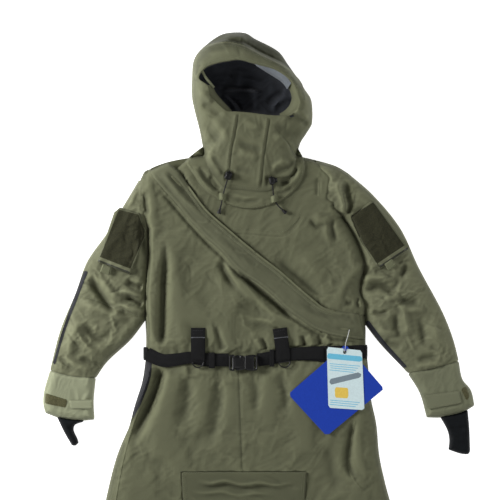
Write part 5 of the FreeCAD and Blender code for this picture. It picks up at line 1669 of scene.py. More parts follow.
def hood_brim():
    """The stiffened brim: a second layer round the top of the mouth, with a stitched seam behind it."""
    first, last = (math.atan2(y - HOOD_MIDDLE[1], x) for x, y in (BRIM_SEAM[0], BRIM_SEAM[-1]))
    angles = np.linspace(first, last, 230)
    inner = mouth_radius(angles)
    seam = np.maximum(seam_radius(angles), inner + 2.0)
    number = np.arange(len(angles))
    ends = ease(np.minimum(number, number[::-1]) / 16.0)
    rows = []
    for share, lift in ((0.0, 0.2), (0.0, 1.9), (0.03, 2.7), (0.1, 3.2), (0.3, 3.4), (0.5, 3.3), (0.7, 3.2),
                        (0.88, 3.3), (0.97, 3.0), (1.0, 2.2), (1.005, 0.0)):
        radius = inner - 1.0 + (seam - inner + 1.0) * share
        below = hood_surface(*round_hood(np.maximum(radius, inner + 0.8), angles))
        z = below + lift * (0.25 + 0.75 * ends) - 0.6 * (1 - ends)
        rows.append(np.column_stack([*round_hood(radius, angles), z]))
    band = tube("brim_cloth", np.stack(rows, axis=1), suit_light)
    top = lifted(hood_surface, 3.1)
    lines = [np.column_stack(round_hood(inner + (seam - inner) * share, angles))[10:-10:12]
             for share in (0.84, 0.16)]
    join("brim_cloth", band, *[stitches(top, *line) for line in lines])
    place(band, "root", "hood_brim", slot="suit_fabric")


def facing(name, outer_line, inner_line, drop_outer, drop_inner, material):
    """A strip of cloth between two lines, hung below the mouth's rim; its middle bulges up a little."""
    count = 60
    a, b = (np.column_stack([np.interp(np.linspace(0, len(run) - 1, count), np.arange(len(run)), run[:, k])
                             for k in (0, 1)])
            for run in (smooth_run(outer_line, 3.0), smooth_run(inner_line, 3.0)))
    upper = [(share, -1.5 * math.sin(math.pi * share)) for share in np.linspace(0, 1, 6)]
    lower = [(share, 1.2) for share in np.linspace(1, 0, 6)]
    rows = []
    for share, deeper in upper + lower:
        xy = a * (1 - share) + b * share
        drop = drop_outer * (1 - share) + drop_inner * share + deeper
        rows.append(np.column_stack([xy, rim_height(xy[:, 1]) - drop]))
    piece = tube(name, np.stack(rows[::-1], axis=1), material)
    place(piece, "root", slot="hood_lining" if material is mesh_cloth else "suit_fabric")


def hood_inside():
    """The lining's bowl, with its facings and the pale backing of the brim."""
    angles = np.linspace(0, math.tau, 300, endpoint=False)
    inner = mouth_radius(angles)
    room = edge_radius(angles) - inner
    rim = rim_height(round_hood(inner, angles)[1])
    folds = [Fold(11, 4, 5, (-74, 632), (-40, 636), (0, 634), (30, 630), fade=0.2, power=1.5),
             Fold(-5, 6, 6, (-74, 640), (-52, 660), (-40, 682), fade=0.2),
             Fold(6, 5, 6, (-80, 636), (-60, 654), (-44, 672), fade=0.2),
             Fold(6, 5, 5, (-66, 624), (-44, 606), (-30, 584), fade=0.2),
             Fold(-6, 5, 5, (-54, 620), (-34, 606), (-18, 582), fade=0.2),
             Fold(7, 7, 8, (96, 620), (76, 612), (60, 596), (50, 580), fade=0.2),
             Fold(-6, 7, 7, (84, 634), (60, 622), (40, 600), fade=0.2),
             Fold(5, 8, 8, (-20, 690), (-28, 664), (-26, 640), fade=0.25),
             Fold(5, 8, 8, (10, 630), (14, 606), (10, 584), fade=0.25)]
    rings = []
    for v in np.linspace(0, 1, 46):
        bulge = np.minimum(room * 0.25, 14) * np.sin(np.minimum(v / 0.42, 1) * math.pi) ** 0.8
        shrink = 1 - ease((v - 0.28) / 0.72) * 0.9995
        x, y = round_hood((inner + 0.5 + bulge) * shrink, angles)
        floor = 12 + 16 * ease((600 - y) / 60) + 4 * ease((y - 680) / 40)
        fall = ease(v / 0.62) ** 0.75
        z = (rim - 5.0) * (1 - fall) + floor * fall
        relief = add_folds(np.zeros_like(x), x, y, folds) + 2.6 * creases(x, y, 46, 22, 30, 81)
        rings.append(np.column_stack([x, y, z + relief * ease((v - 0.1) / 0.25)]))
    for share in (0.02, 1.0):
        rings.append(np.column_stack([*round_hood((inner + 1.0) * share, angles),
                                      np.full(len(angles), 6.5)]))
    bowl = tube("hood_lining_cloth", rings, lining_cloth, capped=False)
    place(bowl, "root", "hood_lining", slot="hood_lining")
    facing("brim_backing_panel", [(8, 695), (34, 688), (60, 679), (84, 664), (98, 648)],
           [(16, 688), (38, 674), (58, 662), (78, 648), (88, 634)], 5, 11, mesh_cloth)
    facing("facing_left", [(95, 657), (107, 641), (115, 620), (118, 603), (98, 573), (72, 571)],
           [(87, 645), (94, 632), (99, 614), (94, 597), (82, 584), (70, 577)], 4, 15, suit)
    facing("facing_right", [(-103, 644), (-96, 621), (-77, 599), (-56, 582), (-44, 581)],
           [(-88, 642), (-82, 628), (-66, 608), (-52, 594), (-43, 584)], 4, 13, suit)
    facing("drawcord_channel_right", [(-118, 678), (-108, 660), (-96, 645), (-88, 636)],
           [(-113, 682), (-103, 664), (-91, 649), (-83, 639)], 8, 9, thread)


# ============================================================ collar
COLLAR_OUTER = [(-146, 474), (-153, 462), (-134, 430), (-117, 405), (-97, 385), (-76, 372), (-52, 360),
                (-18, 351), (14, 350), (46, 358), (72, 368), (98, 385), (117, 407), (128, 430), (132, 452),
                (129, 470)]
collar_outline = Outline(COLLAR_OUTER, [(129, 470), (112, 500)], [(112, 500), (112, 560)],
                         [(112, 560), (-112, 560)], [(-112, 560), (-112, 500)], [(-112, 500), (-146, 474)])
COLLAR_FOLDS = [
    Fold(4, 6, 7, (-136, 452), (-118, 424), (-98, 400), (-76, 384), fade=0.25),
    Fold(-4, 6, 6, (-122, 456), (-106, 426), (-88, 406), (-70, 394), fade=0.25),
    Fold(-5, 6, 7, (-98, 430), (-84, 412), (-70, 396), fade=0.2),
    Fold(2.5, 5, 5, (-44, 384), (-8, 378), (26, 380)),
    Fold(-2.5, 4, 5, (-40, 374), (-4, 368), (32, 370)),
    Fold(-8, 8, 8, (66, 412), (84, 420), (102, 432), (112, 452), fade=0.2),
    Fold(5, 6, 7, (72, 396), (94, 408), (112, 426), (120, 452), fade=0.25),
    Fold(-4, 5, 6, (60, 384), (84, 392), (104, 406)),
]

COLLAR_CREASES = strewn(
    (181, 14, [(-140, 450), (-90, 440), (-40, 370), (-60, 360)], 132, 16, (20, 60), (2.2, 3.2), (0.8, 1.8)),
    (182, 14, [(60, 372), (120, 440), (124, 452), (50, 380)], 48, 18, (20, 60), (2.2, 3.2), (0.8, 1.8)),
    (183, 8, [(-40, 392), (50, 392), (40, 360), (-40, 360)], 4, 14, (20, 50), (2.2, 3.0), (0.5, 1.2)))


def collar_form(x, y):
    """The collar's height without its folds."""
    return body_form(x, y) + 5.5


def collar_surface(x, y):
    """The finished surface of the collar."""
    z = body_form(x, y) + 0.4 * (body_surface(x, y) - body_form(x, y))
    z = z + 5.5 * dome((collar_outline.distance(x, y) + 0.5) / 6)
    return add_folds(z, x, y, COLLAR_FOLDS + COLLAR_CREASES)


def collar():
    """The collar round the hood's hem, and the two webbing keepers on it."""
    cloth_ring = slab("collar_cloth", collar_outline, collar_surface, lifted(body_form, -4), suit, step=2.2)
    rim = np.array(COLLAR_OUTER, float)
    inward = np.array([0, 470]) - rim
    inward /= np.linalg.norm(inward, axis=1)[:, None]
    join("collar_cloth", cloth_ring, stitches(collar_surface, *(rim + inward * 5)[1:-1]))
    place(cloth_ring, "root", "collar", slot="suit_fabric")
    for name, (x, y), angle in (("right", (-66, 379), -12), ("left", (58, 374), 14)):
        place(webbing_bridge("collar_keeper_" + name, x, y, angle), "root", "collar_keepers", slot="webbing")


def strap(name, path, width, thick, material, step=3.0, bow=0.0, side=None):
    """A flat strap: its middle line runs through points in space, and it lies level across.

    width is a number or a list; bow is how far its middle stands above its edges.
    """
    p = np.array(path, float)
    length = np.linalg.norm(np.diff(p, axis=0), axis=1).sum()
    count = max(8, int(length / step))
    run = smooth_space(p, count)
    tangent = np.gradient(run, axis=0)
    tangent /= np.linalg.norm(tangent, axis=1)[:, None]
    if side is None:
        side = (0, 1, 0) if abs(p[-1, 0] - p[0, 0]) > abs(p[-1, 1] - p[0, 1]) else (1, 0, 0)
    side = np.array(side)
    across = side - (tangent @ side)[:, None] * tangent
    across /= np.linalg.norm(across, axis=1)[:, None]
    up = np.cross(tangent, across)
    up *= np.sign(up[:, 2:3].mean() or 1)
    widths = np.interp(np.linspace(0, 1, len(run)), np.linspace(0, 1, np.size(width)), np.atleast_1d(width))
    offsets = np.linspace(-0.5, 0.5, 7)
    crown = bow * (1 - (2 * offsets) ** 2)
    edge = np.where(np.abs(offsets) > 0.49, 0.35 * thick, 0)
    flat = run[:, None] + across[:, None] * (widths[:, None, None] * offsets[None, :, None])
    upper = flat + up[:, None] * (thick / 2 + crown - edge)[None, :, None]
    lower = flat + up[:, None] * (-thick / 2 + crown + edge)[None, :, None]
    return tube(name, np.concatenate([upper, lower[:, ::-1]], axis=1), material, sharp=45)


def smooth_space(p, count):
    """A smooth run through points in space, as count points at even steps."""
    pads = np.vstack([2 * p[0] - p[1], p, 2 * p[-1] - p[-2]])
    out = []
    for i in range(1, len(pads) - 2):
        a, b, c, d = pads[i - 1:i + 3]
        t = np.linspace(0, 1, 24, endpoint=False)[:, None]
        out.append(0.5 * (2 * b + (c - a) * t + (2 * a - 5 * b + 4 * c - d) * t ** 2
                          + (3 * b - a - 3 * c + d) * t ** 3))
    out.append(p[-1:])
    run = np.vstack(out)
    s = np.concatenate([[0], np.cumsum(np.linalg.norm(np.diff(run, axis=0), axis=1))])
    even = np.linspace(0, s[-1], count)
    return np.column_stack([np.interp(even, s, run[:, k]) for k in range(3)])


def rotated(points, centre, degrees):
    """Points in space, turned in plan and moved to a centre."""
    c, s = math.cos(math.radians(degrees)), math.sin(math.radians(degrees))
    return [(centre[0] + c * x - s * y, centre[1] + s * x + c * y, z) for x, y, z in points]


def webbing_bridge(name, x, y, degrees):
    """A short length of olive webbing that bridges the drawcord and is sewn down on both sides."""
    arch = [(-10, 0, 40.6), (-6.5, 0, 41.2), (-4.4, 0, 45.5), (-2.6, 0, 48.3), (0, 0, 48.9), (2.6, 0, 48.3),
            (4.4, 0, 45.5), (6.5, 0, 41.2), (10, 0, 40.6)]
    return strap(name, rotated(arch, (x, y), degrees), 16, 1.2, olive_web, step=0.8)


# ============================================================ drawcords and their locks
CORD_ROUTES = {
    "right": [(-48, 441, 52), (-55, 416, 52), (-60.5, 397, 48), (-65.5, 379, 43), (-67.5, 364, 42.4),
              (-71, 352, 39.5)],
    "left": [(50.5, 428, 51.5), (54.5, 400, 51.5), (55.5, 385, 47), (58.5, 370, 42.6), (66, 358, 42),
             (76, 349, 39.5)],
}
STRING_ROUTE = [(237, 62, 40.4), (234, 47, 42.6), (229, 34, 43.6), (227, 20, 45), (226, 10, 43.6)]
CORD_ACROSS, STRING_ACROSS = 3.0, 1.6


def cord_curve(name, route, across, material, caps=True):
    """A round cord or wire along a smooth route."""
    curve = bpy.data.curves.new(name, "CURVE")
    curve.dimensions = "3D"
    curve.resolution_u = 12
    curve.bevel_depth = across / 2 * MM
    curve.bevel_resolution = 4
    curve.use_fill_caps = caps
    spline = curve.splines.new("NURBS")
    spline.points.add(len(route) - 1)
    for point, (x, y, z) in zip(spline.points, route):
        point.co = (x * MM, y * MM, z * MM, 1)
    spline.order_u = 3
    spline.use_endpoint_u = True
    curve.materials.append(material)
    obj = bpy.data.objects.new(name, curve)
    bpy.context.scene.collection.objects.link(obj)
    return obj


def lathe(name, profile, at, way, material):
    """A turned shape: (radius, distance) pairs from the point at, along way."""
    sides = 28
    axis = Vector(way).normalized()
    reference = Vector((0, 0, 1)) if abs(axis.z) < 0.9 else Vector((1, 0, 0))
    u = axis.cross(reference).normalized()
    v = axis.cross(u)
    rings = []
    for radius, distance in profile:
        centre = Vector(at) + axis * distance
        rings.append([tuple(centre + u * (radius * math.cos(t)) + v * (radius * math.sin(t)))
                      for t in (math.tau * k / sides for k in range(sides))])
    return tube(name, rings, material, sharp=40)


def ribbed_barrel(name, size, centre, turn, material):
    """A superellipsoid of the given full sizes, ribbed round its axis and turned by a 3 by 3 matrix."""
    a, b, c = (s / 2 for s in size)
    rows, columns, power = 26, 52, 2 / 3.4
    rounded = lambda value: math.copysign(abs(value) ** power, value)
    vertices = []
    for i in range(1, rows):
        phi = math.pi * i / rows - math.pi / 2
        for j in range(columns):
            theta = math.tau * j / columns
            z = c * rounded(math.sin(phi))
            shrink = 1 - 0.045 * max(0.0, math.cos(z * 2.1)) ** 2
            x = a * rounded(math.cos(phi)) * rounded(math.cos(theta))
            y = b * rounded(math.cos(phi)) * rounded(math.sin(theta))
            vertices.append((x * shrink, y * shrink, z))
    placed = np.array(vertices) @ turn.T + np.array(centre)
    return tube(name, placed.reshape(rows - 1, columns, 3), material)


BELL_PROFILE = [(1.6, -0.6), (2.4, 0.0), (2.7, 1.2), (2.5, 2.2), (2.9, 3.4), (3.4, 6.0), (4.1, 9.2),
                (4.5, 11.4), (4.6, 12.8), (4.1, 13.7), (2.6, 14.0)]


def drawcords():
    """The two cords that hang from the hood, each with the moulded bell at its end."""
    braid = webbing_cloth("cord_braid", srgb(34, 34, 36), 35)
    for name, route in CORD_ROUTES.items():
        line = cord_curve("cord_" + name, route, CORD_ACROSS, braid)
        end = Vector(route[-1])
        way = Vector((end.x - route[-2][0], end.y - route[-2][1], 0)).normalized()
        bell = lathe("cord_bell_" + name, BELL_PROFILE, end + Vector((0, 0, 0.2)), way, black_plastic)
        place(bell, "root", "cord_bells", slot="buckle_plastic")
        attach(line, "root")
        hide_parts("drawcord_" + name)


# each lock's centre, its turn in plan, and whether it lies on its side
LOCKS = {
    "right": ((-51.4, 429, 52), -15.6, False),
    "left": ((52.1, 417, 51.5), 8.1, True),
}
RING_PROFILE = [(6.6, 6.0), (7.6, 6.2), (7.8, 7.0), (7.4, 7.6), (6.6, 7.7)]
BUTTON_PROFILE = [(5.9, 0), (5.9, 8.2), (5.5, 8.6), (5.9, 9.1), (5.9, 10.0), (5.5, 10.4), (5.9, 10.9),
                  (5.9, 12.0), (5.3, 12.7), (4.0, 13.0), (3.6, 12.4), (0.4, 12.2)]


def cord_locks():
    """Each lock: a ribbed barrel with its spring, and its button with rings moulded round it."""
    for name, (centre, degrees, on_side) in LOCKS.items():
        c, s = math.cos(math.radians(degrees)), math.sin(math.radians(degrees))
        plan = np.array([[c, -s, 0], [s, c, 0], [0, 0, 1.0]])
        tip = np.array([[0, 0, 1.0], [0, 1, 0], [-1, 0, 0]]) if on_side else np.eye(3)
        turn = plan @ tip
        u, v, way = (Vector(turn @ axis) for axis in np.eye(3))
        body = ribbed_barrel("lock_body_" + name, (17, 20, 14), centre, turn, black_plastic)
        collar_ring = lathe("lock_ring_" + name, RING_PROFILE, centre, way, black_plastic)
        join(body.name, body, collar_ring)
        place(body, "cord_lock_" + name, "cord_lock_" + name, slot="buckle_plastic")
        button = lathe("lock_button_body_" + name, BUTTON_PROFILE, centre, way, black_plastic)
        place(button, "lock_button_" + name, "lock_button_" + name, slot="buckle_plastic")
        base = Vector(centre) - way * 5
        turns, per_turn, radius, rise = 2, 10, 4, 0.6
        coil = []
        for k in range(turns * per_turn + 1):
            t = math.tau * k / per_turn
            up = 0.4 + rise * k / per_turn / turns
            coil.append(base + way * up + u * (radius * math.cos(t)) + v * (radius * math.sin(t)))
        spring = cord_curve("spring_" + name, coil, 0.7, steel, caps=False)
        place(spring, "cord_lock_" + name, "lock_spring_" + name, slot="spring_steel")


# ============================================================ belt
BELT_Z, WEB_THICK = 35.2, 2.2


def belt():
    """The belt's two webs with their turns round the suit's sides, its loops and its keepers."""
    right_front = [(-51, -10.5, BELT_Z), (-80, -10.5, BELT_Z), (-109, -10, BELT_Z), (-142, -5, BELT_Z - 0.2),
                   (-175, -9.5, BELT_Z), (-205, -12, BELT_Z - 1.0), (-228, -5, BELT_Z - 2.5),
                   (-246, 4, BELT_Z - 4)]
    right = strap("belt_web_right", right_front, [31, 31, 31, 28, 29, 31, 31, 32], WEB_THICK, black_web,
                  bow=0.3)
    turn_right = [(-244, 4, 31.5), (-251, 4, 29), (-254.3, 4, 20), (-254.5, 4, 8), (-252, 4, 2.4),
                  (-247, 4, 1.4)]
    wrap_right = strap("wrap", turn_right, 31, 1.8, black_web, step=1.5, side=(0, 1, 0))
    rear_right = strap("rear", [(-250, 4, 1.2), (-200, -4, 1.2), (-120, -8, 1.2), (-60, -8, 1.2)], 30, 1.9,
                       black_web, step=8)
    join("belt_web_right", right, wrap_right, rear_right)
    place(right, "root", "belt_right", slot="webbing")
    left_front = [(18, -10.5, BELT_Z), (40, -7.5, BELT_Z), (62, -3.5, BELT_Z), (98, 3, BELT_Z),
                  (140, 4.5, BELT_Z), (183, 4, BELT_Z), (230, 7, BELT_Z - 0.8), (262, 9, BELT_Z - 2.6),
                  (272, 9, BELT_Z - 5)]
    left = strap("belt_web_left", left_front, [31, 31, 31, 31, 33, 38, 36, 33, 32], WEB_THICK, black_web,
                 bow=0.3)
    tail = strap("tail", [(60, -3, BELT_Z + 2.0), (98, 3.4, BELT_Z + 2.0), (140, 5, BELT_Z + 2.0),
                          (176, 5, BELT_Z + 1.8)], 28, 1.6, black_web)
    turn_left = [(270, 9, 30.5), (277, 9, 28), (280.2, 9, 18), (280.5, 9, 8), (278.4, 9, 2.4), (273, 9, 1.4)]
    wrap_left = strap("wrap", turn_left, 31, 1.8, black_web, step=1.5, side=(0, 1, 0))
    rear_left = strap("rear", [(276, 9, 1.2), (160, -4, 1.2), (40, -8, 1.2), (-60, -8, 1.2)], 30, 1.9,
                      black_web, step=8)
    join("belt_web_left", left, tail, wrap_left, rear_left)
    place(left, "root", "belt_left", slot="webbing")
    for name, x, degrees in (("right", -124, 0), ("left", 80, 8)):
        path, fold_path, edge_path, low_row, high_row = (rotated(points, (x, 0), degrees) for points in (
            [(0, 66, 35.2), (0, 58, 36.0), (0, 48, 36.8), (0, 38, 38.4), (0, 24, 38.8), (0, 6, 38.4),
             (0, -8, 38.0), (0, -13, 37.9)],
            [(0, 42.5, 40.0), (0, 40, 40.6), (0, 20, 40.6), (0, 0, 40.0), (0, -10, 39.4)],
            [(0, 44, 39.3), (0, 42, 40.4)],
            [(-15, 52, 0), (15, 52, 0)],
            [(-15, 60, 0), (15, 60, 0)]))
        loop = strap("belt_loop_" + name, path, 34, 1.9, black_web, step=2.2, bow=0.5)
        fold = strap("fold", fold_path, 30, 1.6, black_web, step=2.2, bow=0.4)
        edge = strap("edge", edge_path, 34, 1.2, edge_web, step=0.6)
        sewn = lambda px, py: np.full(np.shape(px), 37.2)
        rows = [stitches(sewn, *[point[:2] for point in row], material=black_thread)
                for row in (low_row, high_row)]
        join(loop.name, loop, fold, edge, *rows)
        place(loop, "root", "belt_loops", slot="webbing")
    for name, low, high, y_low, y_high in (("right", -98, -84, -29, 6), ("left", 46.8, 58, -25, 13)):
        x = (low + high) / 2
        arch = [(x, y_low - 0.8, 35), (x, y_low - 0.6, 37.6), (x, y_low + 2, 38.8),
                (x, (y_low + y_high) / 2, 39.0),
                (x, y_high - 2, 38.8), (x, y_high + 0.6, 37.6), (x, y_high + 0.8, 35)]
        band = strap("belt_keeper_" + name, arch, high - low, 1.4, black_web, step=1.6)
        place(band, "root", "belt_keepers", slot="webbing")


# ------------------------------------------------------------ buckle and rings
def pillow(name, outline, low, high, round_by, material, step=1.0, holes=(), ridge=None):
    """A moulded plate over an outline, with rounded upper and lower edges."""
    middle = (low + high) / 2

    def roundness(x, y):
        d = outline.distance(x, y)
        for hole in holes:
            d = np.minimum(d, hole.distance(x, y))
        return 0.25 + 0.75 * dome((d + 0.3) / round_by)

    def top(x, y):
        z = middle + (high - middle) * roundness(x, y)
        return z if ridge is None else z + ridge(x, y)

    bottom = lambda x, y: middle - (middle - low) * roundness(x, y)

    return slab(name, outline, top, bottom, material, step=step, holes=holes, sharp=40)


def buckle():
    """The side-release buckle: a socket with its windows, and a plug with its prongs."""
    z0 = 37.0
    socket = Outline([(-50, -33), (-46, -36), (-38, -36.2), (-24, -35.2), (-14, -34)],
                     [(-14, -34), (-14, 0)],
                     [(-14, 0), (-24, 1.2), (-38, 2.2), (-46, 2), (-50, -1)], [(-50, -1), (-50, -33)],
                     step=1.5)
    socket_slot = Outline(*closed((-46, -31), (-42.6, -31), (-42.6, -3), (-46, -3)), step=1.5)
    window_low = Outline([(-37, -35.5), (-30, -35.5), (-24, -34.5)], [(-24, -34.5), (-25, -30.5)],
                         [(-25, -30.5), (-36, -31)], [(-36, -31), (-37, -35.5)], step=1.2)
    window_high = Outline([(-24, 0.5), (-30, 1.5), (-37, 1.5)], [(-37, 1.5), (-36, -3)],
                          [(-36, -3), (-25, -3.5)], [(-25, -3.5), (-24, 0.5)], step=1.2)

    def raised_panel(x, y):
        spot = np.maximum(np.abs(x + 27) / 9.0, np.abs(y + 17) / 9.5)
        groove = 0.7 * np.exp(-((x + 41) / 0.8) ** 2) * ease((14 - np.abs(y + 17)) / 3)
        return 0.5 * ease((1.15 - spot) / 0.3) - groove

    body = pillow("buckle_socket_body", socket, z0, z0 + 10.4, 3.2, black_plastic, 0.9,
                  (socket_slot, window_low, window_high), raised_panel)
    place(body, "root", "buckle_socket", slot="buckle_plastic")
    handle = Outline([(-13.2, -33.5), (-4, -35.4), (8, -36), (15, -35)], [(15, -35), (18, -32)],
                     [(18, -32), (18, -2)], [(18, -2), (15, 1)], [(15, 1), (8, 2), (-4, 1.4), (-13.2, -0.5)],
                     [(-13.2, -0.5), (-13.2, -33.5)], step=1.5)
    handle_slot = Outline(*closed((10.2, -31), (13.6, -31), (13.6, -3), (10.2, -3)), step=1.5)

    def grip(x, y):
        return -0.8 * np.exp(-((x - 4) / 5.5) ** 2) * ease((15 - np.abs(y + 17)) / 6)

    plug = pillow("buckle_plug_body", handle, z0, z0 + 10.4, 3.2, black_plastic, 0.9, (handle_slot,), grip)
    prongs = []
    for flip in (1, -1):
        prong = Outline(*[[(x, -17 + flip * (y + 17)) for x, y in run] for run in (
            [(-12.8, -32.4), (-22, -32.6), (-27, -34.4), (-33, -34.6), (-36, -32.2)],
            [(-36, -32.2), (-35.5, -29.4)], [(-35.5, -29.4), (-28, -28.8), (-20, -27.6), (-12.8, -26.6)],
            [(-12.8, -26.6), (-12.8, -32.4)])], step=1.5)
        prongs.append(pillow("prong", prong, z0 + 3.2, z0 + 7.4, 1.6, black_plastic, 0.8))
    spine = Outline(*closed((-12.8, -20), (-12.8, -14), (-33, -15), (-33, -19)), step=1.5)
    prongs.append(pillow("spine", spine, z0 + 3.2, z0 + 7.4, 1.4, black_plastic, 0.8))
    join("buckle_plug_body", plug, *prongs)
    place(plug, "buckle_plug", "buckle_plug", slot="buckle_plastic")


# ============================================================ zippers, flaps and tags
def teeth(start, end, z, long, wide, tall, pitch):
    """Two rows of interlocked teeth: small tapered blocks along a line, to each side in turn."""
    (x1, y1), (x2, y2) = start, end
    length = math.hypot(x2 - x1, y2 - y1)
    ux, uy = (x2 - x1) / length, (y2 - y1) / length
    vertices, faces = [], []
    for k in range(int(length / pitch)):
        side = 1 if k % 2 else -1
        s = (k + 0.5) * pitch
        cx, cy = x1 + ux * s, y1 + uy * s
        b = len(vertices)
        corners = ((-0.6, 0.42, tall), (long, 0.55, tall), (long, 0.55, 0), (-0.6, 0.42, 0))
        for across, half, height in corners:
            for edge in (-1, 1):
                px = cx - uy * across * side + ux * half * wide * edge
                py = cy + ux * across * side + uy * half * wide * edge
                vertices.append((px, py, z + height))
        faces += [(b, b + 1, b + 3, b + 2), (b + 2, b + 3, b + 5, b + 4), (b + 4, b + 5, b + 7, b + 6),
                  (b + 6, b + 7, b + 1, b), (b, b + 2, b + 4, b + 6), (b + 1, b + 7, b + 5, b + 3)]
    return to_object("teeth", vertices, faces, zip_plastic, sharp=30)


def zipper_slider(name, x, y, z, degrees, scale, pull_long):
    """A slider: a bridge over a waisted body, with a long pull tab hanging from it."""
    c, s = math.cos(math.radians(degrees)), math.sin(math.radians(degrees))

    def at(points):
        return [(x + c * a * scale - s * b * scale, y + s * a * scale + c * b * scale) for a, b in points]

    body = Outline(at([(-8, -5), (-2, -3.6), (5, -5.4), (9, -4.5)]), at([(9, -4.5), (9, 4.5)]),
                   at([(9, 4.5), (5, 5.4), (-2, 3.6), (-8, 5)]), at([(-8, 5), (-8, -5)]), step=1.2)
    plate = pillow(name, body, z, z + 2.6, 1.2, zip_plastic, 0.8)
    bridge = Outline(*closed(*at([(-4, -1.3), (6, -1.3), (6, 1.3), (-4, 1.3)])), step=1.0)
    arch = pillow("bridge", bridge, z + 2.2, z + 4.4, 1.2, zip_plastic, 0.7)
    tab = Outline(at([(2, -1.8), (-pull_long + 4, -3.2), (-pull_long, -2.2)]),
                  at([(-pull_long, -2.2), (-pull_long, 2.2)]),
                  at([(-pull_long, 2.2), (-pull_long + 4, 3.2), (2, 1.8)]), at([(2, 1.8), (2, -1.8)]),
                  step=1.2)
    pull = pillow("pull", tab, z + 4.0, z + 5.9, 0.9, zip_plastic, 0.8)
    return join(name, plate, arch, pull)


def zippers():
    """The main zipper and the relief zipper: each has a tape, teeth and a slider."""
    low, high = chest(-26.4, -88), chest(-26.4, 403)
    tape_outline = Outline(*closed(chest(-42, -90), chest(-42, 405), chest(-10.8, 405), chest(-10.8, -90)))
    main = slab("main_zipper_tape", tape_outline, 23.2, 22.0, tape, step=4)
    join("main_zipper_tape", main, teeth(low, high, 23.1, 3.4, 1.9, 1.4, 2.4))
    place(main, "root", "main_zipper", slot="zipper_tape")
    x, y = chest(-26.4, 368)
    slider = zipper_slider("main_zipper_slider_body", x, y, 24.8, -40.9 + 180, 1.25, 13)
    place(slider, "main_zipper_slider", "main_zipper_slider", slot="zipper_plastic")
    relief_tape = Outline(*closed((-130, -350), (100, -350), (100, -322), (-130, -322)))
    relief = slab("relief_zipper_tape", relief_tape, 26.2, 25.0, tape, step=4)
    join("relief_zipper_tape", relief, teeth((-128, -336), (98, -336), 26.1, 3.0, 1.7, 1.3, 2.2))
    place(relief, "root", "relief_zipper", slot="zipper_tape")
    relief_slider = zipper_slider("relief_slider_body", 70, -336, 27.6, 180, 1.0, 11)
    place(relief_slider, "relief_slider", "relief_slider", slot="zipper_plastic")


RELIEF_FOLDS = [
    Fold(5.0, 4, 7, (-130, -296), (-96, -304), (-60, -299), (-20, -308), (20, -303), (64, -310), (110, -302),
         fade=0.2),
    Fold(-4.4, 4, 7, (-130, -308), (-92, -314), (-54, -309), (-14, -318), (30, -313), (80, -320), fade=0.25),
    Fold(3.6, 4, 6, (-148, -322), (-110, -328), (-66, -325), (-30, -333), (24, -329), (70, -336), fade=0.25),
    Fold(2.5, 8, 9, (-140, -340), (-80, -350), (0, -344), (90, -352)),
    Fold(-2.5, 8, 9, (-130, -366), (-60, -372), (20, -366), (100, -374)),
]
RELIEF_FOLDS += scattered(191, 18, [(-150, -290), (122, -290), (112, -380), (-142, -380)], -4, 14, (30, 96),
                          (2.4, 3.8), (0.8, 2.2))


def relief_flap():
    """The flap over the relief zipper, with its two rows of stitches."""
    corners = [(-165, -277.5), (136, -277.5), (128, -393), (-157, -393)]
    outline = Outline(*closed(*corners))

    def top(x, y):
        d = outline.distance(x, y)
        z = np.maximum(body_form(x, y), 34) + 4.0 * dome((d + 0.5) / 3.5)
        return add_folds(z, x, y, RELIEF_FOLDS)

    cover = slab("relief_flap_cloth", outline, top, 34.6, suit_dark, step=2.6)
    rows = [row for by in (5, 11) for row in stitched_border(lifted(top, -0.1), inset(corners, by))]
    join("relief_flap_cloth", cover, *rows)
    place(cover, "relief_flap", "relief_flap", slot="suit_fabric")


def card_paper(name, colour, gloss):
    """Coated card: a smooth colour with faint fibre and a soft varnish."""
    material, tree, shader = new_material(name, gloss, coat=0.35)
    vector = mapped(tree)
    fibre = noise_node(tree, vector, 0.25, 5.0, 0.6)
    shade = ramp(tree, fibre, scaled(colour, 0.93), scaled(colour, 1.05), (0.3, 0.7))
    tree.links.new(shade, shader.inputs["Base Color"])
    bump(tree, shader, fibre, 0.02)
    shader.inputs["Coat Roughness"].default_value = 0.25
    return material


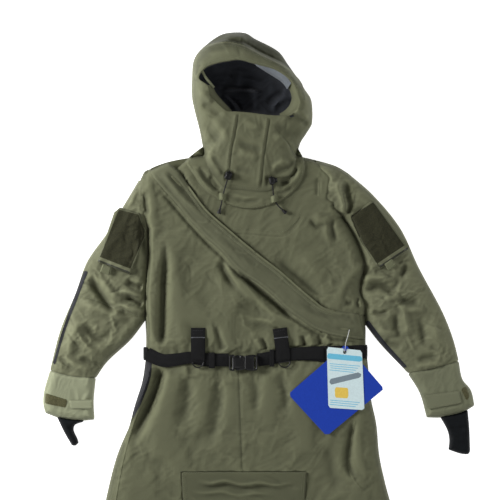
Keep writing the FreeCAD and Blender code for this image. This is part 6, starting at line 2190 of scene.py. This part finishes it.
def hang_tags():
    """The two hang tags with generic prints, their eyelet and their string."""
    blue_corners = [(91, -92), (183, -192), (320, -79), (228, 27)]
    pale_corners = [(183, 21), (267, 12.4), (273, -130), (187, -124.4)]
    eye = Outline([(228.4, 8), (226, 10.4), (223.6, 8), (226, 5.6), (228.4, 8)], step=0.8)
    blue = slab("blue_tag", Outline(*closed(*blue_corners)), 41.2, 40.6, blue_card, step=4,
                holes=(eye,))
    place(blue, "hang_tags", "blue_card", slot="card_blue")
    pale = slab("pale_tag", Outline(*closed(*pale_corners)), 42.35, 41.75, pale_card, step=4,
                holes=(eye,))
    place(pale, "hang_tags", "pale_card", slot="card_pale")
    prints = [
        ("tag_band_top", [(184, 6), (267, -2), (267.6, -15), (184.4, -7)], band_cyan),
        ("tag_band_grey", [(190, -70), (264, -52), (266, -38), (190, -56)], band_grey),
        ("tag_square", [(202, -75), (234, -77), (235, -102), (203, -100)], band_orange),
    ]
    for name, corners, material in prints:
        patch = slab(name, Outline(*closed(*corners)), 42.5, 42.3, material, step=3)
        place(patch, "hang_tags", slot="card_pale")
    rows = [ribbon("row", [(190 + k % 3, y), (262 - 5 * (k % 4), y - 6)], 1.5, 42.35, 0.05, 0.1, band_cyan,
                   step=6, columns=2)
            for k, y in enumerate((-19, -24, -29, -34, -106, -111, -116))]
    place(join("tag_rows", *rows), "hang_tags", slot="card_pale")
    string = cord_curve("tag_string_line", STRING_ROUTE, STRING_ACROSS, string_cloth)
    eyelet_profile = [(3.9, -0.1), (4.0, 0.15), (3.4, 0.35), (2.6, 0.3), (2.5, -0.1)]
    ring = lathe("tag_eyelet", eyelet_profile, (226, 8, 42.4), (0, 0, 1), zip_plastic)
    place(ring, "hang_tags", slot="card_pale")
    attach(string, "hang_tags")
    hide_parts("tag_string")


blue_card = card_paper("card_blue_coated", srgb(28, 66, 182), 0.35)
pale_card = card_paper("card_pale_coated", srgb(226, 247, 250), 0.4)
band_cyan = card_paper("card_band_cyan", srgb(116, 204, 236), 0.4)
band_grey = card_paper("card_band_grey", srgb(132, 148, 158), 0.4)
band_orange = card_paper("card_square_orange", srgb(248, 212, 96), 0.4)
string_cloth = cloth("tag_string_twist", srgb(214, 216, 214), pitch=1.0)

torso()
storm_flap()
trousers()
knees_and_socks()
sleeves()
cuffs()
wrist_seals()
arm_pockets()
hood_shell()
hood_brim()
hood_inside()
collar()
drawcords()
cord_locks()
belt()
buckle()
zippers()
relief_flap()
hang_tags()

# the D-rings are shown by their own CAD nodes
for cad_name in ("d_ring_right", "d_ring_left"):
    slots = frame["nodes"][cad_name].data.materials
    slots.clear()
    slots.append(black_plastic)


# ------------------------------------------------------------ camera, floor and light
def area_light(name, at, target, size, power):
    """A rectangular light that faces a target; its places and sizes are metres."""
    light = bpy.data.lights.new(name, "AREA")
    light.shape = "RECTANGLE"
    light.size, light.size_y = size
    light.energy = power
    obj = bpy.data.objects.new(name, light)
    obj.location = at
    obj.rotation_euler = (Vector(target) - Vector(at)).to_track_quat("-Z", "Y").to_euler()
    bpy.context.scene.collection.objects.link(obj)


floor_mesh = bpy.data.meshes.new("floor")
reach = 20
floor_mesh.from_pydata([(-reach, -reach, 0), (reach, -reach, 0), (reach, reach, 0), (-reach, reach, 0)], [],
                       [(0, 1, 2, 3)])
floor = bpy.data.objects.new("floor", floor_mesh)
bpy.context.scene.collection.objects.link(floor)
floor_material, _, floor_shader = new_material("pale_floor", 0.9)
floor_shader.inputs["Base Color"].default_value = (0.96, 0.96, 0.96, 1)
floor_shader.inputs["Emission Color"].default_value = (1, 1, 1, 1)
floor_shader.inputs["Emission Strength"].default_value = 0.9
floor_mesh.materials.append(floor_material)

area_light("key_softbox", (-2.5, 0.9, 1.2), (0, 0.2, 0), (1.1, 1.1), 100)
area_light("right_softbox", (2.4, 0.8, 1.0), (0, 0.25, 0), (0.9, 1.6), 22)
area_light("foot_fill", (0.9, -2.6, 2.6), (0, 0.2, 0), (2.0, 1.4), 32)

world = bpy.data.worlds.new("studio")
world.use_nodes = True
world.node_tree.nodes["Background"].inputs["Color"].default_value = (1, 1, 1, 1)
world.node_tree.nodes["Background"].inputs["Strength"].default_value = 0.10
bpy.context.scene.world = world
bpy.context.scene.view_settings.view_transform = "Standard"

VIEW_CENTRE, VIEW_SIDE, CAMERA_HEIGHT = (0.0, 0.252), 1.2, 7.0
camera_data = bpy.data.cameras.new("camera")
camera = bpy.data.objects.new("camera", camera_data)
camera.location = (VIEW_CENTRE[0], VIEW_CENTRE[1], CAMERA_HEIGHT)
SENSOR = 36
camera_data.sensor_width = SENSOR
camera_data.lens = SENSOR * CAMERA_HEIGHT / VIEW_SIDE
camera_data.clip_end = 30
bpy.context.scene.collection.objects.link(camera)
bpy.context.scene.camera = camera

# every mesh gets its crest values, which the cloths turn into painted highlight and painted shade
for obj in list(bpy.context.scene.objects):
    if obj.type == "MESH" and obj.name not in frame["nodes"] and obj is not floor:
        mark_crests(obj)
